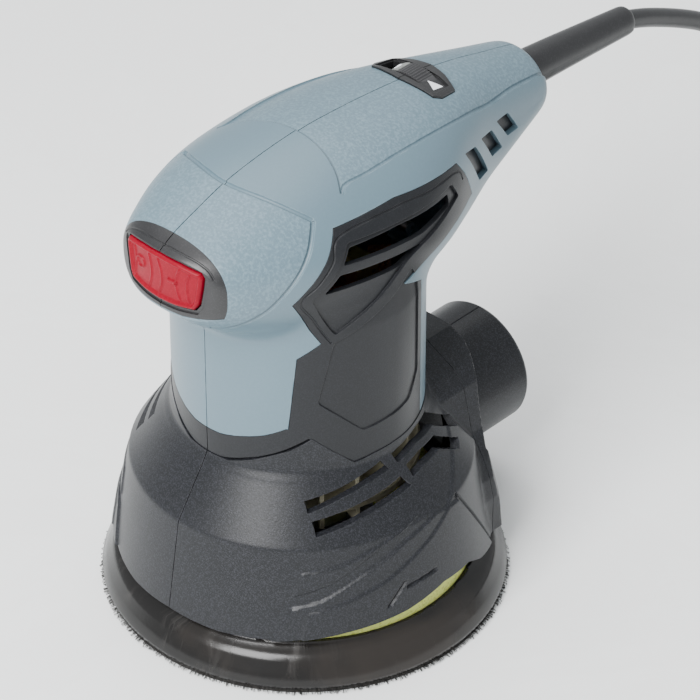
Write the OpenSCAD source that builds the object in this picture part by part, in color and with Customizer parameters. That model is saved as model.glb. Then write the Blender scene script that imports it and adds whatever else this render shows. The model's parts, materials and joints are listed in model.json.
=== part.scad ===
// Palm-grip random-orbit sander.
// Frame: origin where the motor axis meets the floor, in the middle of the sanding face.
// +Z runs up the motor axis, +Y points out of the dust port and the cord, -Y is the nose.

/* [Sanding pad] */
// Radius of the hook face
pad_r = 62.5; // [61:0.5:64]
// Distance between the motor axis and the pad axis
orbit = 1.25; // [0.5:0.25:1.5]
// Height of the pad's upper rim
pad_top = 12.2; // [11.5:0.1:12.4]
// Number of dust holes
dust_holes = 8; // [5:1:8]
// Circle that the dust holes are on (diameter)
dust_pcd = 65; // [62:1:70]
// Radius of one dust hole
dust_hole_r = 4.5; // [3.5:0.5:5]

/* [Skirt] */
// Outer radius at the lower edge
skirt_r = 57.4; // [56:0.2:58]
// Outer radius at the shoulder
shoulder_r = 52.2; // [51:0.2:53]
// Height of the shoulder
shoulder_z = 45.8; // [44:0.2:47]
// Height of the front lower edge
skirt_z = 15.4; // [15:0.2:16]
// Wall thickness of the skirt
skirt_wall = 2.4; // [2:0.1:2.8]

/* [Grip and head] */
// Outer radius of the grip
grip_r = 39.5; // [39:0.1:40]
// Height where the grip's grey shell starts
grip_z = 73; // [72.5:0.5:75]
// Wall thickness of the shells
wall = 2.6; // [2.2:0.1:3]

/* [Dust port] */
// Outer radius of the port
port_r = 20.4; // [19.5:0.1:20.8]
// Inner radius of the port
port_bore_r = 17.6; // [16:0.1:18]
// Where the port ends
port_y = 82; // [78:1:86]
// Height of the port's axis
port_z = 34.2; // [33:0.1:35]

/* [Motor] */
// Radius of the motor shaft
shaft_r = 5; // [4.9:0.05:5]
// Outer radius of the stator
stator_r = 30; // [29:0.5:30.5]
// Radius of the armature core
armature_r = 17; // [16:0.5:17.5]
// Number of fan blades
fan_blades = 20; // [12:1:24]

/* [Cord] */
// Diameter of the mains cord
cord_d = 6.2; // [6:0.1:6.4]

/* [Hidden] */
$fn = 96;
gap = 0.3;              // clearance between pieces that move past each other
fit = 0.05;             // radial clearance of a running fit
seam = 0.1;             // half the gap between the left and right shells
nose_r = 46;            // plan radius of the rounded nose
nose_back = -11.2;      // centre of that radius
bezel_y = -50.2;        // rear edge of the nose bezels
duct_y = 39;            // plane where the dust duct meets the skirts
lip_z = 15;             // top of the thin lip of the pad round its foam
port_foot_y = 58.2;     // end of the thicker foot round the dust port
port_seat_y = 54;       // end of the wider mouth inside the duct, clear of the brake ring
tail_y = 97;            // rear end of the head
neck_z = 62;            // height of the neck, above the shoulder cone
cap_w = 14.8;           // half width of the switch cap
cap_z = [129, 143.6];   // lower and upper edge of the switch cap
dial_y = [44.2, 52.2];  // faces of the speed dial
dial_c = 145;           // height of the speed dial's axis
dial_r = 12;            // radius of the speed dial
tail_z = 134;           // height of the cord's axis in the tail
clamp_y = 84;           // middle of the cord clamp
coil_c = [85, 195];     // centre of the stored coil of cord
coil_turn_r = 37;       // middle radius of the coil's turns
coil_turns = 5;         // turns side by side
coil_layers = 2;        // layers on each other
plug_t = 14;            // thickness of the plug

// Sections of the head: y, half width, top z, bottom z, z of the widest line, exponent
HEAD = [
    [-59, 13.0, 143.0, 128.0, 135.2, 2.5],
    [-51, 20.5, 147.8, 120.0, 134.8, 2.4],
    [-42, 26.0, 151.3, 113.4, 134.2, 2.3],
    [-30, 31.5, 155.2, 106.5, 133.5, 2.2],
    [-15, 36.3, 157.8, 101.0, 132.8, 2.05],
    [  2, 38.0, 159.2,  99.0, 132.5, 2.0],
    [ 18, 36.8, 158.9,  99.5, 132.6, 2.1],
    [ 34, 32.0, 157.8, 101.5, 133.0, 2.25],
    [ 50, 25.0, 156.0, 104.0, 133.2, 2.4],
    [ 65, 19.5, 153.4, 108.5, 133.5, 2.3],
    [ 80, 16.4, 149.7, 114.6, 133.8, 2.15],
    [ 92, 14.2, 146.7, 120.4, 134.0, 2.0],
    [ 97, 12.2, 144.8, 123.0, 134.0, 2.0]];
HEAD_STEPS = 1;         // rings between two sections
HEAD_SIDES = 32;        // edges of a section

// Route of the cord from the strain relief down to the coil's outer turn
CORD = [
    [0, 147, 130.4], [0, 155, 127.6], [0, 164, 123.8], [0.2, 175, 118.6], [0.6, 185, 113.2],
    [2, 194, 107.2], [5, 202.5, 100.6], [9.6, 210, 93], [15.5, 216.5, 84.6], [22, 222, 75.4],
    [28.5, 226.8, 65.8], [35, 231, 56], [41.5, 234.8, 46.4], [48.2, 238, 37.4], [55.4, 240.6, 29.2],
    [63.2, 242.6, 22], [71.6, 243.8, 16.2], [80.4, 244.3, 12], [89.5, 244.2, 9.8]];
// Route from the coil to the plug
LEAD = [[134.4, 195, 3.3], [134.4, 185, 3.3], [134.4, 174, 3.8], [134.4, 164, 5.2], [134.4, 155, 6.6]];

// ---------- shared shapes ----------

// Smooth curve through the values a, b, c, d; t runs from b to c
function smooth(a, b, c, d, t) =
    0.5 * (2 * b + (c - a) * t + (2 * a - 5 * b + 4 * c - d) * t * t
    + (3 * b - a - 3 * c + d) * t * t * t);

// Point t (0 to 1) after entry i of a table or route
function along(table, i, t) =
    let(last = len(table) - 1)
    smooth(table[max(i - 1, 0)], table[i], table[min(i + 1, last)], table[min(i + 2, last)], t);

function rows(table, steps) = [
    for (i = [0:len(table) - 2], k = [0:steps - 1]) along(table, i, k / steps),
    table[len(table) - 1]];

function signed_power(v, e) = sign(v) * pow(abs(v), e);

// Superellipse section of the head, as x, z points, set in from the outside by inset
function head_outline(s, inset) = [
    for (k = [0:HEAD_SIDES - 1])
        let(a = 360 * k / HEAD_SIDES,
            half_h = (sin(a) < 0 ? s[4] - s[3] : s[2] - s[4]) - inset)
        [(s[1] - inset) * signed_power(cos(a), 2 / s[5]),
         s[4] + half_h * signed_power(sin(a), 2 / s[5])]];

// Solid between rings of equal length, with flat ends
module loft(rings) {
    n = len(rings[0]);
    m = len(rings);
    polyhedron(
        points = [for (ring = rings, p = ring) p],
        faces = concat(
            [[for (k = [0:n - 1]) k]],
            [for (i = [0:m - 2], k = [0:n - 1], half = [0, 1])
                let(a = i * n + k, b = i * n + (k + 1) % n)
                half == 0 ? [a, a + n, b] : [b, a + n, b + n]],
            [[for (k = [n - 1:-1:0]) (m - 1) * n + k]]));
}

module head_slab(s, inset) {
    translate([0, s[0], 0]) rotate([90, 0, 0]) linear_extrude(0.02) polygon(head_outline(s, inset));
}

// Head barrel: sections joined one to the next, behind a nose that is round in plan
module head(inset) {
    sections = rows(HEAD, HEAD_STEPS);
    intersection() {
        for (i = [0:len(sections) - 2]) hull() {
            head_slab(sections[i], inset);
            head_slab(sections[i + 1], inset);
        }
        union() {
            translate([0, nose_back, 90]) cylinder(r = nose_r - inset, h = 80);
            translate([-50, -31, 90]) cube([100, tail_y + 31 - inset, 80]);
        }
    }
}

// Grip column with a rounded top; a cavity (inset above 0) runs out below
module grip(inset) {
    bottom = grip_z - 3 * inset;
    rotate_extrude()
        polygon([[0, bottom], [grip_r - inset, bottom], [grip_r - inset, 113],
                 [grip_r - 1 - inset, 121], [grip_r - 3.5 - inset, 129],
                 [grip_r - 9 - inset, 137], [0, 145]]);
}

module shell_solid(inset) {
    $fn = 48;
    head(inset);
    grip(inset);
}

// Keeps what lies on the +X side of the seam
module right_side() {
    intersection() {
        children();
        translate([seam, -100, 0]) cube([100, 300, 200]);
    }
}

// Prism along +X over an outline in y, z
module side_prism(outline, x0, x1) {
    translate([x0, 0, 0]) rotate([90, 0, 90]) linear_extrude(x1 - x0) polygon(outline);
}

module both_sides() {
    children();
    mirror([1, 0, 0]) children();
}

// Outline of the side panel, from its upper front corner clockwise
PANEL = [[-17, 146.8], [6, 147], [20, 145.4], [35.5, 143.4], [39, 138.5], [46, 126.5],
    [4, 121], [14.5, 115.8], [14.5, 72], [-30.5, 72], [-28.2, 105.2], [-23, 110.4],
    [-27.2, 118.6], [-33.4, 128.5], [-27.5, 134.5], [-22.5, 140]];
SLOTS = [
    [[-14.5, 140.8], [4, 140.2], [28, 138], [28.5, 134], [13, 133.4], [-17.5, 136.4]],
    [[-18.8, 133.8], [13, 130.4], [3.5, 127.4], [-23.5, 128.6]]];
TAIL_VENTS = [
    [[42.5, 142.2], [49, 140.2], [58.6, 126.2], [52.4, 127.4]],
    [[54.6, 139.8], [61, 138.4], [67.6, 129], [62, 129.6]],
    [[65.8, 139], [71.4, 138.4], [76.6, 131], [71.6, 131.4]]];

// ---------- housings and panels ----------

SCREWS = [[-34, 119], [35, 113], [70, 121.5], [-27, 147.5]];   // y, z of the housing screws

module screw_bosses() {
    for (s = SCREWS) translate([0, s[0], s[1]]) rotate([0, 90, 0]) cylinder(r = 3.6, h = 40);
}

module nose_block() {
    translate([-30, -70, 124.6]) cube([60, 70 + bezel_y, 30]);
}

module half_housing() {
    $fn = 32;
    right_side() difference() {
        shell_solid(0);
        difference() {
            shell_solid(wall);
            screw_bosses();
            bearing_seat();
            for (z = [82, 106]) stator_rib(z);
            tail_rib();
        }
        side_prism(PANEL, 15, 50);
        for (v = TAIL_VENTS) side_prism(v, 10, 40);
        nose_block();
        dial_window();
        for (s = SCREWS) translate([-1, s[0], s[1]]) rotate([0, 90, 0]) cylinder(r = 2, h = 14);
        translate([0, 78, tail_z]) rotate([-90, 0, 0]) cylinder(r = 6.4, h = 30);
        translate([0, 0, 130.9]) cylinder(r = 13.1, h = 9.2);
    }
}

// Block under the roof that holds the upper bearing's sleeve
module bearing_seat() {
    translate([0, -9, 131.5]) cube([14.8, 18, 30]);
}

module stator_rib(z) {
    difference() {
        translate([0, 0, z]) cylinder(r = grip_r - 0.5, h = 2.4);
        translate([0, 0, z - 1]) cylinder(r = stator_r + 0.3, h = 6);
    }
}

// Rib that the cord clamp is screwed to
module tail_rib() {
    difference() {
        translate([-8, clamp_y - 3, 113]) cube([16, 6, 17]);
        clamp_holes(120);
    }
}

module dial_window() {
    translate([0, 0, 146]) linear_extrude(20)
        polygon([[-14, 47], [-12, 43.6], [12, 43.6], [14, 47], [12.4, 53.8], [0, 58], [-12.4, 53.8]]);
}

module right_housing() {
    color("#9fb1ba") half_housing();
}

module left_housing() {
    color("#9fb1ba") mirror([1, 0, 0]) half_housing();
}

module half_panel() {
    right_side() difference() {
        shell_solid(0);
        shell_solid(wall);
        outside_panel();
        for (s = SLOTS) side_prism(s, 10, 50);
    }
}

// Everything beside the panel's outline
module outside_panel() {
    difference() {
        translate([-60, -100, 60]) cube([120, 220, 120]);
        side_prism(PANEL, 15, 50);
    }
}

module right_side_panel() {
    color("#303235") half_panel();
}

module left_side_panel() {
    color("#303235") mirror([1, 0, 0]) half_panel();
}

// Black frame around the switch cap
module half_bezel() {
    right_side() difference() {
        intersection() {
            shell_solid(0);
            nose_block();
        }
        shell_solid(wall);
        translate([-cap_w - gap, -70, cap_z[0] - gap])
            cube([2 * (cap_w + gap), 40, cap_z[1] - cap_z[0] + 2 * gap]);
    }
}

module right_nose_bezel() {
    color("#26272a") half_bezel();
}

module left_nose_bezel() {
    color("#26272a") mirror([1, 0, 0]) half_bezel();
}

// Red cap that rocks about an upright axis behind it
module switch_cap() {
    color("#c92238") difference() {
        intersection() {
            translate([0, nose_back, cap_z[0]]) cylinder(r = nose_r, h = cap_z[1] - cap_z[0]);
            translate([-cap_w, -60, cap_z[0]]) cube([2 * cap_w, 8.4, cap_z[1] - cap_z[0]]);
        }
        translate([-cap_w + 2, -53.8, cap_z[0] + 2])
            cube([2 * cap_w - 4, 6, cap_z[1] - cap_z[0] - 4]);
    }
}

// Actuator of the switch, inside the cap
module switch_rocker() {
    color("#3a1014") {
        translate([-8, -53.8, 132]) cube([16, 4.6, 9]);
        translate([0, -51.5, 131.2]) cylinder(r = 1.5, h = 10.2);
    }
}

module switch_body() {
    color("#202124") {
        translate([-9, -45, 129.5]) cube([18, 20, 13]);
        for (x = [-6, 6]) translate([x - 1, -25, 134]) cube([2, 5, 4]);
    }
}

module half_dial_bezel() {
    right_side() difference() {
        intersection() {
            shell_solid(0.4);
            dial_window();
        }
        shell_solid(wall + 1);
        translate([-dial_r - gap, dial_y[0] - 0.5, 140])
            cube([2 * (dial_r + gap), dial_y[1] - dial_y[0] + 1, 30]);
    }
}

module right_dial_bezel() {
    color("#232427") half_dial_bezel();
}

module left_dial_bezel() {
    color("#232427") mirror([1, 0, 0]) half_dial_bezel();
}

// Thumbwheel with a ribbed rim
module speed_dial() {
    ribs = 40;
    color("#2b2c2f") translate([0, dial_y[0], dial_c]) rotate([-90, 0, 0]) difference() {
        cylinder(r = dial_r, h = dial_y[1] - dial_y[0]);
        for (k = [0:ribs - 1]) rotate([0, 0, 360 * k / ribs])
            translate([dial_r + 0.2, 0, 1]) cylinder(r = 0.6, h = 6, $fn = 16);
        translate([0, 0, -1]) cylinder(r = 2 + fit, h = 20);
    }
}

module speed_module() {
    color("#3b5a44") {
        translate([-10, 27, 129]) cube([20, 12, 20]);
        translate([-6, 39, 138]) cube([12, 4.6, 11]);
        translate([0, 43.6, dial_c]) rotate([-90, 0, 0]) cylinder(r = 2, h = 8);
    }
}

// ---------- skirt and dust duct ----------

SIDE_CUT = [[-46, 5], [-46, 15.5], [-30, 18], [-13, 20.2], [2, 22.4], [14.5, 21.6],
    [22.5, 17.4], [30, 5]];
REAR = [[0, 13], [43.5, 13], [43.5, 26], [42, 32.6], [39.4, 38.2], [34.7, 45.7], [32.8, 54],
    [31, 61], [27, 66], [15.7, 71.6], [0, 71.6]];
SKIRT_VENTS = [
    [[-31, 54.6], [-30, 58], [-16, 61.4], [-6, 63.6], [-4.4, 60.3], [-18, 57.2]],
    [[0.8, 60], [-0.8, 63.3], [8, 64.6], [16, 64.6], [27, 60], [27, 56.4], [15.6, 61]],
    [[-32, 49], [-31.6, 52.7], [-16, 56], [-3.8, 58.3], [-1, 54.3], [-17, 51.6]],
    [[3, 55.4], [1.3, 58.3], [10, 59.4], [18, 58.6], [27, 54.4], [27, 51], [16.6, 55.6]]];

module skirt_revolve(inset) {
    rotate([0, 0, -90]) rotate_extrude(angle = 180)
        polygon([[0, 12], [skirt_r + 0.4 - inset, 12], [shoulder_r - inset, shoulder_z - inset / 2],
                 [grip_r + 1.8 - inset, neck_z - inset / 2], [grip_r + 0.2 - inset, neck_z + 3],
                 [grip_r + 0.2 - inset, grip_z], [0, grip_z]]);
}

module rear_block(inset) {
    intersection() {
        translate([0, 50 - inset, 0]) rotate([90, 0, 0]) linear_extrude(30)
            polygon([for (p = REAR) [max(p[0] - inset, 0), p[1] > 60 ? p[1] - inset : p[1]]]);
        cylinder(r = 61.2 - inset, h = 100);
    }
}

module skirt_solid(inset) {
    skirt_revolve(inset);
    rear_block(inset);
}

SKIRT_SCREWS = [[-44, 40], [-45, 29]];      // y, z of the screws that join the skirts

module half_skirt() {
    difference() {
        skirt_solid(0);
        difference() {
            skirt_solid(skirt_wall);
            for (p = SKIRT_SCREWS) translate([0, p[0], p[1]]) rotate([0, 90, 0])
                cylinder(r = 3.6, h = 10);
        }
        for (p = SKIRT_SCREWS) translate([-1, p[0], p[1]]) rotate([0, 90, 0])
            cylinder(r = 2, h = 10.2);
        translate([-50, -80, 0]) cube([50 + seam, 200, 100]);
        translate([-100, duct_y, 0]) cube([200, 100, 100]);
        translate([0, -100, 0]) cube([100, 122, skirt_z]);
        translate([-1, -100, 0]) cube([101, 200, 13]);
        side_prism(SIDE_CUT, 20, 80);
        for (v = SKIRT_VENTS) side_prism(v, 20, 60);
    }
}

module right_skirt() {
    color("#2d2e33") half_skirt();
}

module left_skirt() {
    color("#2d2e33") mirror([1, 0, 0]) half_skirt();
}

// Rear cover of the fan chamber with the round port
module dust_duct() {
    color("#2d2e33") difference() {
        union() {
            intersection() {
                both_sides() skirt_solid(0);
                translate([-100, duct_y + 0.1, 13]) cube([200, 60, 59]);
            }
            translate([0, duct_y + 3, port_z]) rotate([-90, 0, 0]) {
                cylinder(r = port_r, h = port_y - duct_y - 3);
                cylinder(r = port_r + 0.9, h = port_foot_y - duct_y - 3);
            }
        }
        intersection() {
            both_sides() skirt_solid(skirt_wall);
            translate([-100, duct_y - 1, 5]) cube([200, 60, 64.5]);
        }
        translate([0, duct_y - 1, port_z]) rotate([-90, 0, 0]) {
            cylinder(r = port_bore_r, h = 60);
            cylinder(r = port_bore_r + 1, h = port_seat_y - duct_y + 1);
        }
        cylinder(r = grip_r + 0.3, h = 100);
    }
}

// Rubber ring that brushes the pad's foam and slows its free spin
module brake_ring() {
    color("#1b1b1c") rotate_extrude()
        polygon([[47, 22.6], [53.2, 22.6], [53.2, 25], [51, 25], [47.6, 23.6]]);
}

// ---------- motor ----------

module stator_core() {
    color("#7d7f83") translate([0, 0, 78]) difference() {
        cylinder(r = stator_r, h = 34);
        translate([0, 0, -1]) cylinder(r = armature_r + 0.5, h = 40);
        for (a = [0, 180]) rotate([0, 0, a]) translate([armature_r + 3, -9, -1]) cube([7, 18, 40]);
    }
}

module field_windings() {
    color("#b4623a") for (a = [0, 180]) rotate([0, 0, a]) {
        translate([armature_r + 3.1, -8.9, 73]) cube([6.8, 17.8, 44]);
        for (z = [72.5, 113]) translate([0, 0, z]) rotate([0, 0, -50]) rotate_extrude(angle = 100)
            translate([armature_r + 3.1, 0]) square([7, 4]);
    }
}

module armature_shaft() {
    color("#b9bcc0") {
        translate([0, 0, 33]) cylinder(r = shaft_r, h = 94);
        translate([0, 0, 127]) cylinder(r = 4, h = 13);
    }
}

module armature_core() {
    slots = 12;
    color("#6d6f73") translate([0, 0, 80]) difference() {
        cylinder(r = armature_r, h = 30);
        translate([0, 0, -1]) cylinder(r = shaft_r, h = 40);
        for (k = [0:slots - 1]) rotate([0, 0, 360 * k / slots])
            translate([armature_r, 0, -1]) cylinder(r = 1.6, h = 40, $fn = 24);
    }
}

module commutator() {
    bars = 24;
    color("#c07a45") translate([0, 0, 116]) difference() {
        cylinder(r = 10, h = 10);
        translate([0, 0, -1]) cylinder(r = shaft_r, h = 20);
        for (k = [0:bars - 1]) rotate([0, 0, 360 * k / bars])
            translate([9.2, -0.2, -1]) cube([2, 0.4, 20]);
    }
}

module ball_bearing(bore_r, outer_r, h) {
    difference() {
        cylinder(r = outer_r, h = h);
        translate([0, 0, -1]) cylinder(r = bore_r, h = h + 2);
        for (z = [-0.1, h - 0.9]) translate([0, 0, z]) difference() {
            cylinder(r = outer_r - 1.6, h = 1);
            translate([0, 0, -1]) cylinder(r = bore_r + 1.6, h = 4);
        }
    }
}

module upper_bearing() {
    color("silver") translate([0, 0, 132]) ball_bearing(4 + fit, 11, 7);
}

module bearing_sleeve() {
    color("#1d1d1f") translate([0, 0, 131]) difference() {
        cylinder(r = 13, h = 9);
        translate([0, 0, 1]) cylinder(r = 11, h = 9);
        translate([0, 0, -1]) cylinder(r = 8, h = 4);
    }
}

module lower_bearing() {
    color("silver") translate([0, 0, 64]) ball_bearing(shaft_r + fit, 13, 8);
}

// Plate between the motor and the fan, with the lower bearing's seat
module bearing_bracket() {
    color("#3a3b3f") difference() {
        union() {
            translate([0, 0, 66]) cylinder(r = grip_r + 0.15 - skirt_wall, h = 2.4);
            translate([0, 0, 62.2]) cylinder(r = 16, h = 9.4);
        }
        translate([0, 0, 63.9]) cylinder(r = 13, h = 20);
        translate([0, 0, 50]) cylinder(r = 10, h = 40);
        for (a = [0:60:300]) rotate([0, 0, a]) translate([26, 0, 50]) cylinder(r = 5.5, h = 30);
    }
}

module brush_holders() {
    color("#c8a24a") both_sides() difference() {
        translate([11.5, -4.5, 117.5]) cube([16, 9, 7.5]);
        translate([10, -3.3, 118.7]) cube([16, 6.6, 5.1]);
    }
}

module carbon_brushes() {
    color("#3c3c3e") both_sides() translate([10.1, -3.2, 118.8]) cube([9, 6.4, 4.9]);
}

// Coil springs behind the brushes, as closed coils
module brush_springs() {
    color("#a9acb0") both_sides() translate([19.2, 0, 121.25]) rotate([0, 90, 0]) difference() {
        cylinder(r = 2.2, h = 6.6);
        translate([0, 0, -1]) cylinder(r = 1.5, h = 9);
    }
}

// Double fan: upper blades cool the motor, lower blades blow out the dust
module cooling_fan() {
    color("#d8d6c4") difference() {
        union() {
            translate([0, 0, 46]) cylinder(r = 36.5, h = 2);
            translate([0, 0, 40.5]) cylinder(r = 9, h = 20);
            for (k = [0:fan_blades - 1]) rotate([0, 0, 360 * k / fan_blades]) {
                translate([15, -0.7, 47.5]) cube([20.5, 1.4, 13]);
                translate([15, -0.7, 40.5]) cube([21, 1.4, 6]);
            }
        }
        translate([0, 0, 30]) cylinder(r = shaft_r, h = 60);
    }
}

// Eccentric: hub on the shaft, cup for the pad bearing, and a balancing sector
module counterweight() {
    color("#8f9296") difference() {
        union() {
            translate([orbit, 0, 25]) cylinder(r = 15.5, h = 11);
            translate([0, 0, 34]) cylinder(r = 9, h = 6.3);
            intersection() {
                translate([0, 0, 29]) cylinder(r = 30, h = 6);
                translate([-31, -31, 20]) cube([26, 62, 30]);
            }
        }
        translate([orbit, 0, 24]) cylinder(r = 13, h = 8.5);
        translate([0, 0, 32.4]) cylinder(r = shaft_r, h = 20);
    }
}

module pad_bearing() {
    color("silver") translate([orbit, 0, 24.4]) ball_bearing(shaft_r + fit, 13, 8);
}

// ---------- pad ----------

module pad_holes() {
    for (k = [0:dust_holes - 1]) rotate([0, 0, 360 * k / dust_holes])
        translate([dust_pcd / 2, 0, -1]) cylinder(r = dust_hole_r, h = 40);
}

// Plate under the foam, with the stub that runs in the pad bearing
module pad_carrier() {
    color("#4a4b4f") translate([orbit, 0, 0]) difference() {
        union() {
            translate([0, 0, 10.3]) cylinder(r = 21, h = 11.2);
            translate([0, 0, 20]) cylinder(r = 8, h = 4);
            translate([0, 0, 20]) cylinder(r = shaft_r, h = 12.2);
        }
        for (a = [45:90:315]) rotate([0, 0, a]) translate([13, 0, 5]) cylinder(r = 2.1, h = 14);
    }
}

module backing_pad() {
    color("#1e1e20") translate([orbit, 0, 0]) difference() {
        rotate_extrude() polygon([[0, 2], [pad_r - 0.3, 2], [pad_r, 2.6], [pad_r, 3.6],
            [57.8, pad_top], [53.8, pad_top], [53.4, lip_z], [52.6, lip_z], [52.5, 10.2], [0, 10.2]]);
        for (a = [45:90:315]) rotate([0, 0, a]) translate([13, 0, -1]) {
            cylinder(r = 2.6, h = 20);
            cylinder(r = 5, h = 7);
        }
        pad_holes();
    }
}

module pad_foam() {
    color("#c3c858") translate([orbit, 0, 0]) difference() {
        rotate_extrude() polygon([[21.3, 10.3], [52.4, 10.3], [52.4, lip_z], [52, 21.4], [21.3, 21.4]]);
        pad_holes();
    }
}

module hook_layer() {
    color("#3a3836") translate([orbit, 0, 0]) difference() {
        cylinder(r = pad_r - 0.1, h = 2);
        for (a = [45:90:315]) rotate([0, 0, a]) translate([13, 0, -1]) cylinder(r = 5, h = 7);
        pad_holes();
    }
}

module pad_screws() {
    color("#9a9da1") translate([orbit, 0, 0])
        for (a = [45:90:315]) rotate([0, 0, a]) translate([13, 0, 0]) difference() {
            union() {
                translate([0, 0, 3]) cylinder(r = 4.4, h = 3);
                translate([0, 0, 6]) cylinder(r = 2, h = 12);
            }
            translate([0, 0, 2]) cylinder(r = 2, h = 2.6, $fn = 6);
        }
}

// ---------- fasteners and electrics ----------

module housing_screws() {
    color("#8b8e93") for (s = SCREWS) translate([-12, s[0], s[1]]) rotate([0, 90, 0])
        cylinder(r = 1.9, h = 24);
}

module skirt_screws() {
    color("#8b8e93") for (p = SKIRT_SCREWS) translate([-9, p[0], p[1]]) rotate([0, 90, 0])
        cylinder(r = 1.9, h = 18);
}

module capacitor() {
    color("#c9a13a") translate([-5, 60, 134]) cube([10, 12, 8]);
}

// Route of one lead from the cord to the speed module
function lead(x) = [[x, 80, 129], [x, 72, 131], [x, 60, 132], [x, 48, 132.5], [x, 39, 133]];

module internal_wires() {
    color("#7a3d2a") for (x = [-9, 9]) sweep(lead(x), 0.9, 8);
}

module clamp_holes(z) {
    for (x = [-5.6, 5.6]) translate([x, clamp_y, z]) cylinder(r = 1.3, h = 20);
}

module cord_clamp() {
    color("#26272a") difference() {
        translate([-8, clamp_y - 3, 138.8]) cube([16, 6, 2.4]);
        clamp_holes(130);
    }
}

module clamp_screws() {
    color("#8b8e93") for (x = [-5.6, 5.6]) translate([x, clamp_y, 0]) {
        translate([0, 0, 121]) cylinder(r = 1.2, h = 20.3);
        translate([0, 0, 141.2]) cylinder(r = 2, h = 1.2);
    }
}

// ---------- cord ----------

// Tapered sleeve, tipped down a little, with its collar held inside the tail
module strain_relief() {
    color("#222326") {
        translate([0, tail_y, tail_z]) rotate([-94.4, 0, 0]) cylinder(r1 = 6.25, r2 = 4.7, h = 50.4);
        translate([0, 80, tail_z]) rotate([-90, 0, 0]) cylinder(r = 4.5, h = 19);
        translate([0, 90.6, tail_z]) rotate([-90, 0, 0]) cylinder(r = 7.6, h = 2.6);
    }
}

function unit(v) = v / norm(v);

function heading(route, i) =
    unit(route[min(i + 1, len(route) - 1)] - route[max(i - 1, 0)]);

function tube_ring(c, dir, r, n) =
    let(side = unit(cross(dir, [0.02, 0.3, 1])), up = cross(side, dir))
    [for (k = [0:n - 1]) c + r * (cos(360 * k / n) * side + sin(360 * k / n) * up)];

// Tube of radius r with n sides along a route
module sweep(route, r, n) {
    loft([for (i = [0:len(route) - 1]) tube_ring(route[i], heading(route, i), r, n)]);
}

module cord_tube() {
    color("#1f2023") sweep(rows(CORD, 1), cord_d / 2, 10);
}

module cord_coil() {
    half_w = coil_turns * cord_d / 2;
    color("#1f2023") translate([coil_c[0], coil_c[1], 0]) rotate_extrude()
        translate([coil_turn_r - half_w, 0]) square([2 * half_w, coil_layers * cord_d]);
}

module cord_lead() {
    color("#1f2023") sweep(LEAD, cord_d / 2, 10);
}

// Two-pole plug, lying beside the coil
module cord_plug() {
    color("#1c1d20") plug_place() linear_extrude(plug_t) polygon([[-5, 0], [5, 0], [8, -6],
        [17, -10], [18.5, -38], [16, -40], [-16, -40], [-18.5, -38], [-17, -10], [-8, -6]]);
}

module plug_pins() {
    color("#c9ccd0") plug_place() for (x = [-9.5, 9.5]) translate([x, -40, plug_t / 2])
        rotate([90, 0, 0]) cylinder(r = 2.4, h = 19);
}

module plug_place() {
    translate([LEAD[4][0], LEAD[4][1], 0]) children();
}

left_housing();
right_housing();
left_side_panel();
right_side_panel();
left_nose_bezel();
right_nose_bezel();
switch_cap();
switch_rocker();
switch_body();
left_dial_bezel();
right_dial_bezel();
speed_dial();
speed_module();
left_skirt();
right_skirt();
dust_duct();
brake_ring();
stator_core();
field_windings();
armature_shaft();
armature_core();
commutator();
upper_bearing();
lower_bearing();
bearing_sleeve();
bearing_bracket();
brush_holders();
carbon_brushes();
brush_springs();
cooling_fan();
counterweight();
pad_bearing();
pad_carrier();
backing_pad();
pad_foam();
hook_layer();
pad_screws();
housing_screws();
skirt_screws();
capacitor();
internal_wires();
cord_clamp();
clamp_screws();
strain_relief();
cord_tube();
cord_coil();
cord_lead();
cord_plug();
plug_pins();
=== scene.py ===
"""Looks of a palm-grip random-orbit sander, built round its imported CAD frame, in millimetres."""

import json
import math
import random

import bmesh
import bpy
import numpy as np
import openvdb
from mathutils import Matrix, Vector
from mathutils.bvhtree import BVHTree


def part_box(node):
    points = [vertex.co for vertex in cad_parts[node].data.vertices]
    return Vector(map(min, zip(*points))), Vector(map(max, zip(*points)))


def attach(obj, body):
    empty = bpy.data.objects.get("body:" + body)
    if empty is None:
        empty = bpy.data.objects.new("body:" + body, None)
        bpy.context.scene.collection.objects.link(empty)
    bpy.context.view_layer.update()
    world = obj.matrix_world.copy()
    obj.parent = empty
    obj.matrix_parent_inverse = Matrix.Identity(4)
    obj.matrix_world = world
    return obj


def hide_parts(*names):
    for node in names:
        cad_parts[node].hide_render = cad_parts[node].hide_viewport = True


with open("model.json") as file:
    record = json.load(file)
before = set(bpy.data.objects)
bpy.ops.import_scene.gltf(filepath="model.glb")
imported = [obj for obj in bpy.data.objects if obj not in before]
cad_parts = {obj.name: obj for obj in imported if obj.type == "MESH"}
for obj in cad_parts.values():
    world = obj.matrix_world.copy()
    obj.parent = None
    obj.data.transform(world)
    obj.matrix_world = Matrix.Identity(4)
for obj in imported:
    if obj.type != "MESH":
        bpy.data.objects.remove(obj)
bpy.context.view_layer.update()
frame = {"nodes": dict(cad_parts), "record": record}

MM = 0.001
SEAM = 0.14            # half the gap between left and right pieces
WALL = 2.6             # wall of the housings
NOSE_R = 45.4          # plan radius of the nose, just behind the switch cap's face
CAP_R = 46.0           # plan radius of the switch cap's face
NOSE_C = -11.2         # centre of both, on y
TAIL_Y = 97.0          # rear end of the head
GRIP_R = 39.5          # radius of the grip
SKIRT_WALL = 2.4       # wall of the skirts and the duct
DUCT_Y = 39.0          # plane where the dust duct meets the skirts
PORT_Z = 34.2          # height of the dust port's axis
PORT_R = 20.4          # outer radius of the dust port
PORT_BORE_R = 17.6     # inner radius of the dust port
PORT_Y = 82.0          # end of the dust port
PAD_X = 1.25           # offset of the pad's axis from the motor's
CORD_D = 6.2           # diameter of the cord

# ---------- meshes ----------


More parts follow.
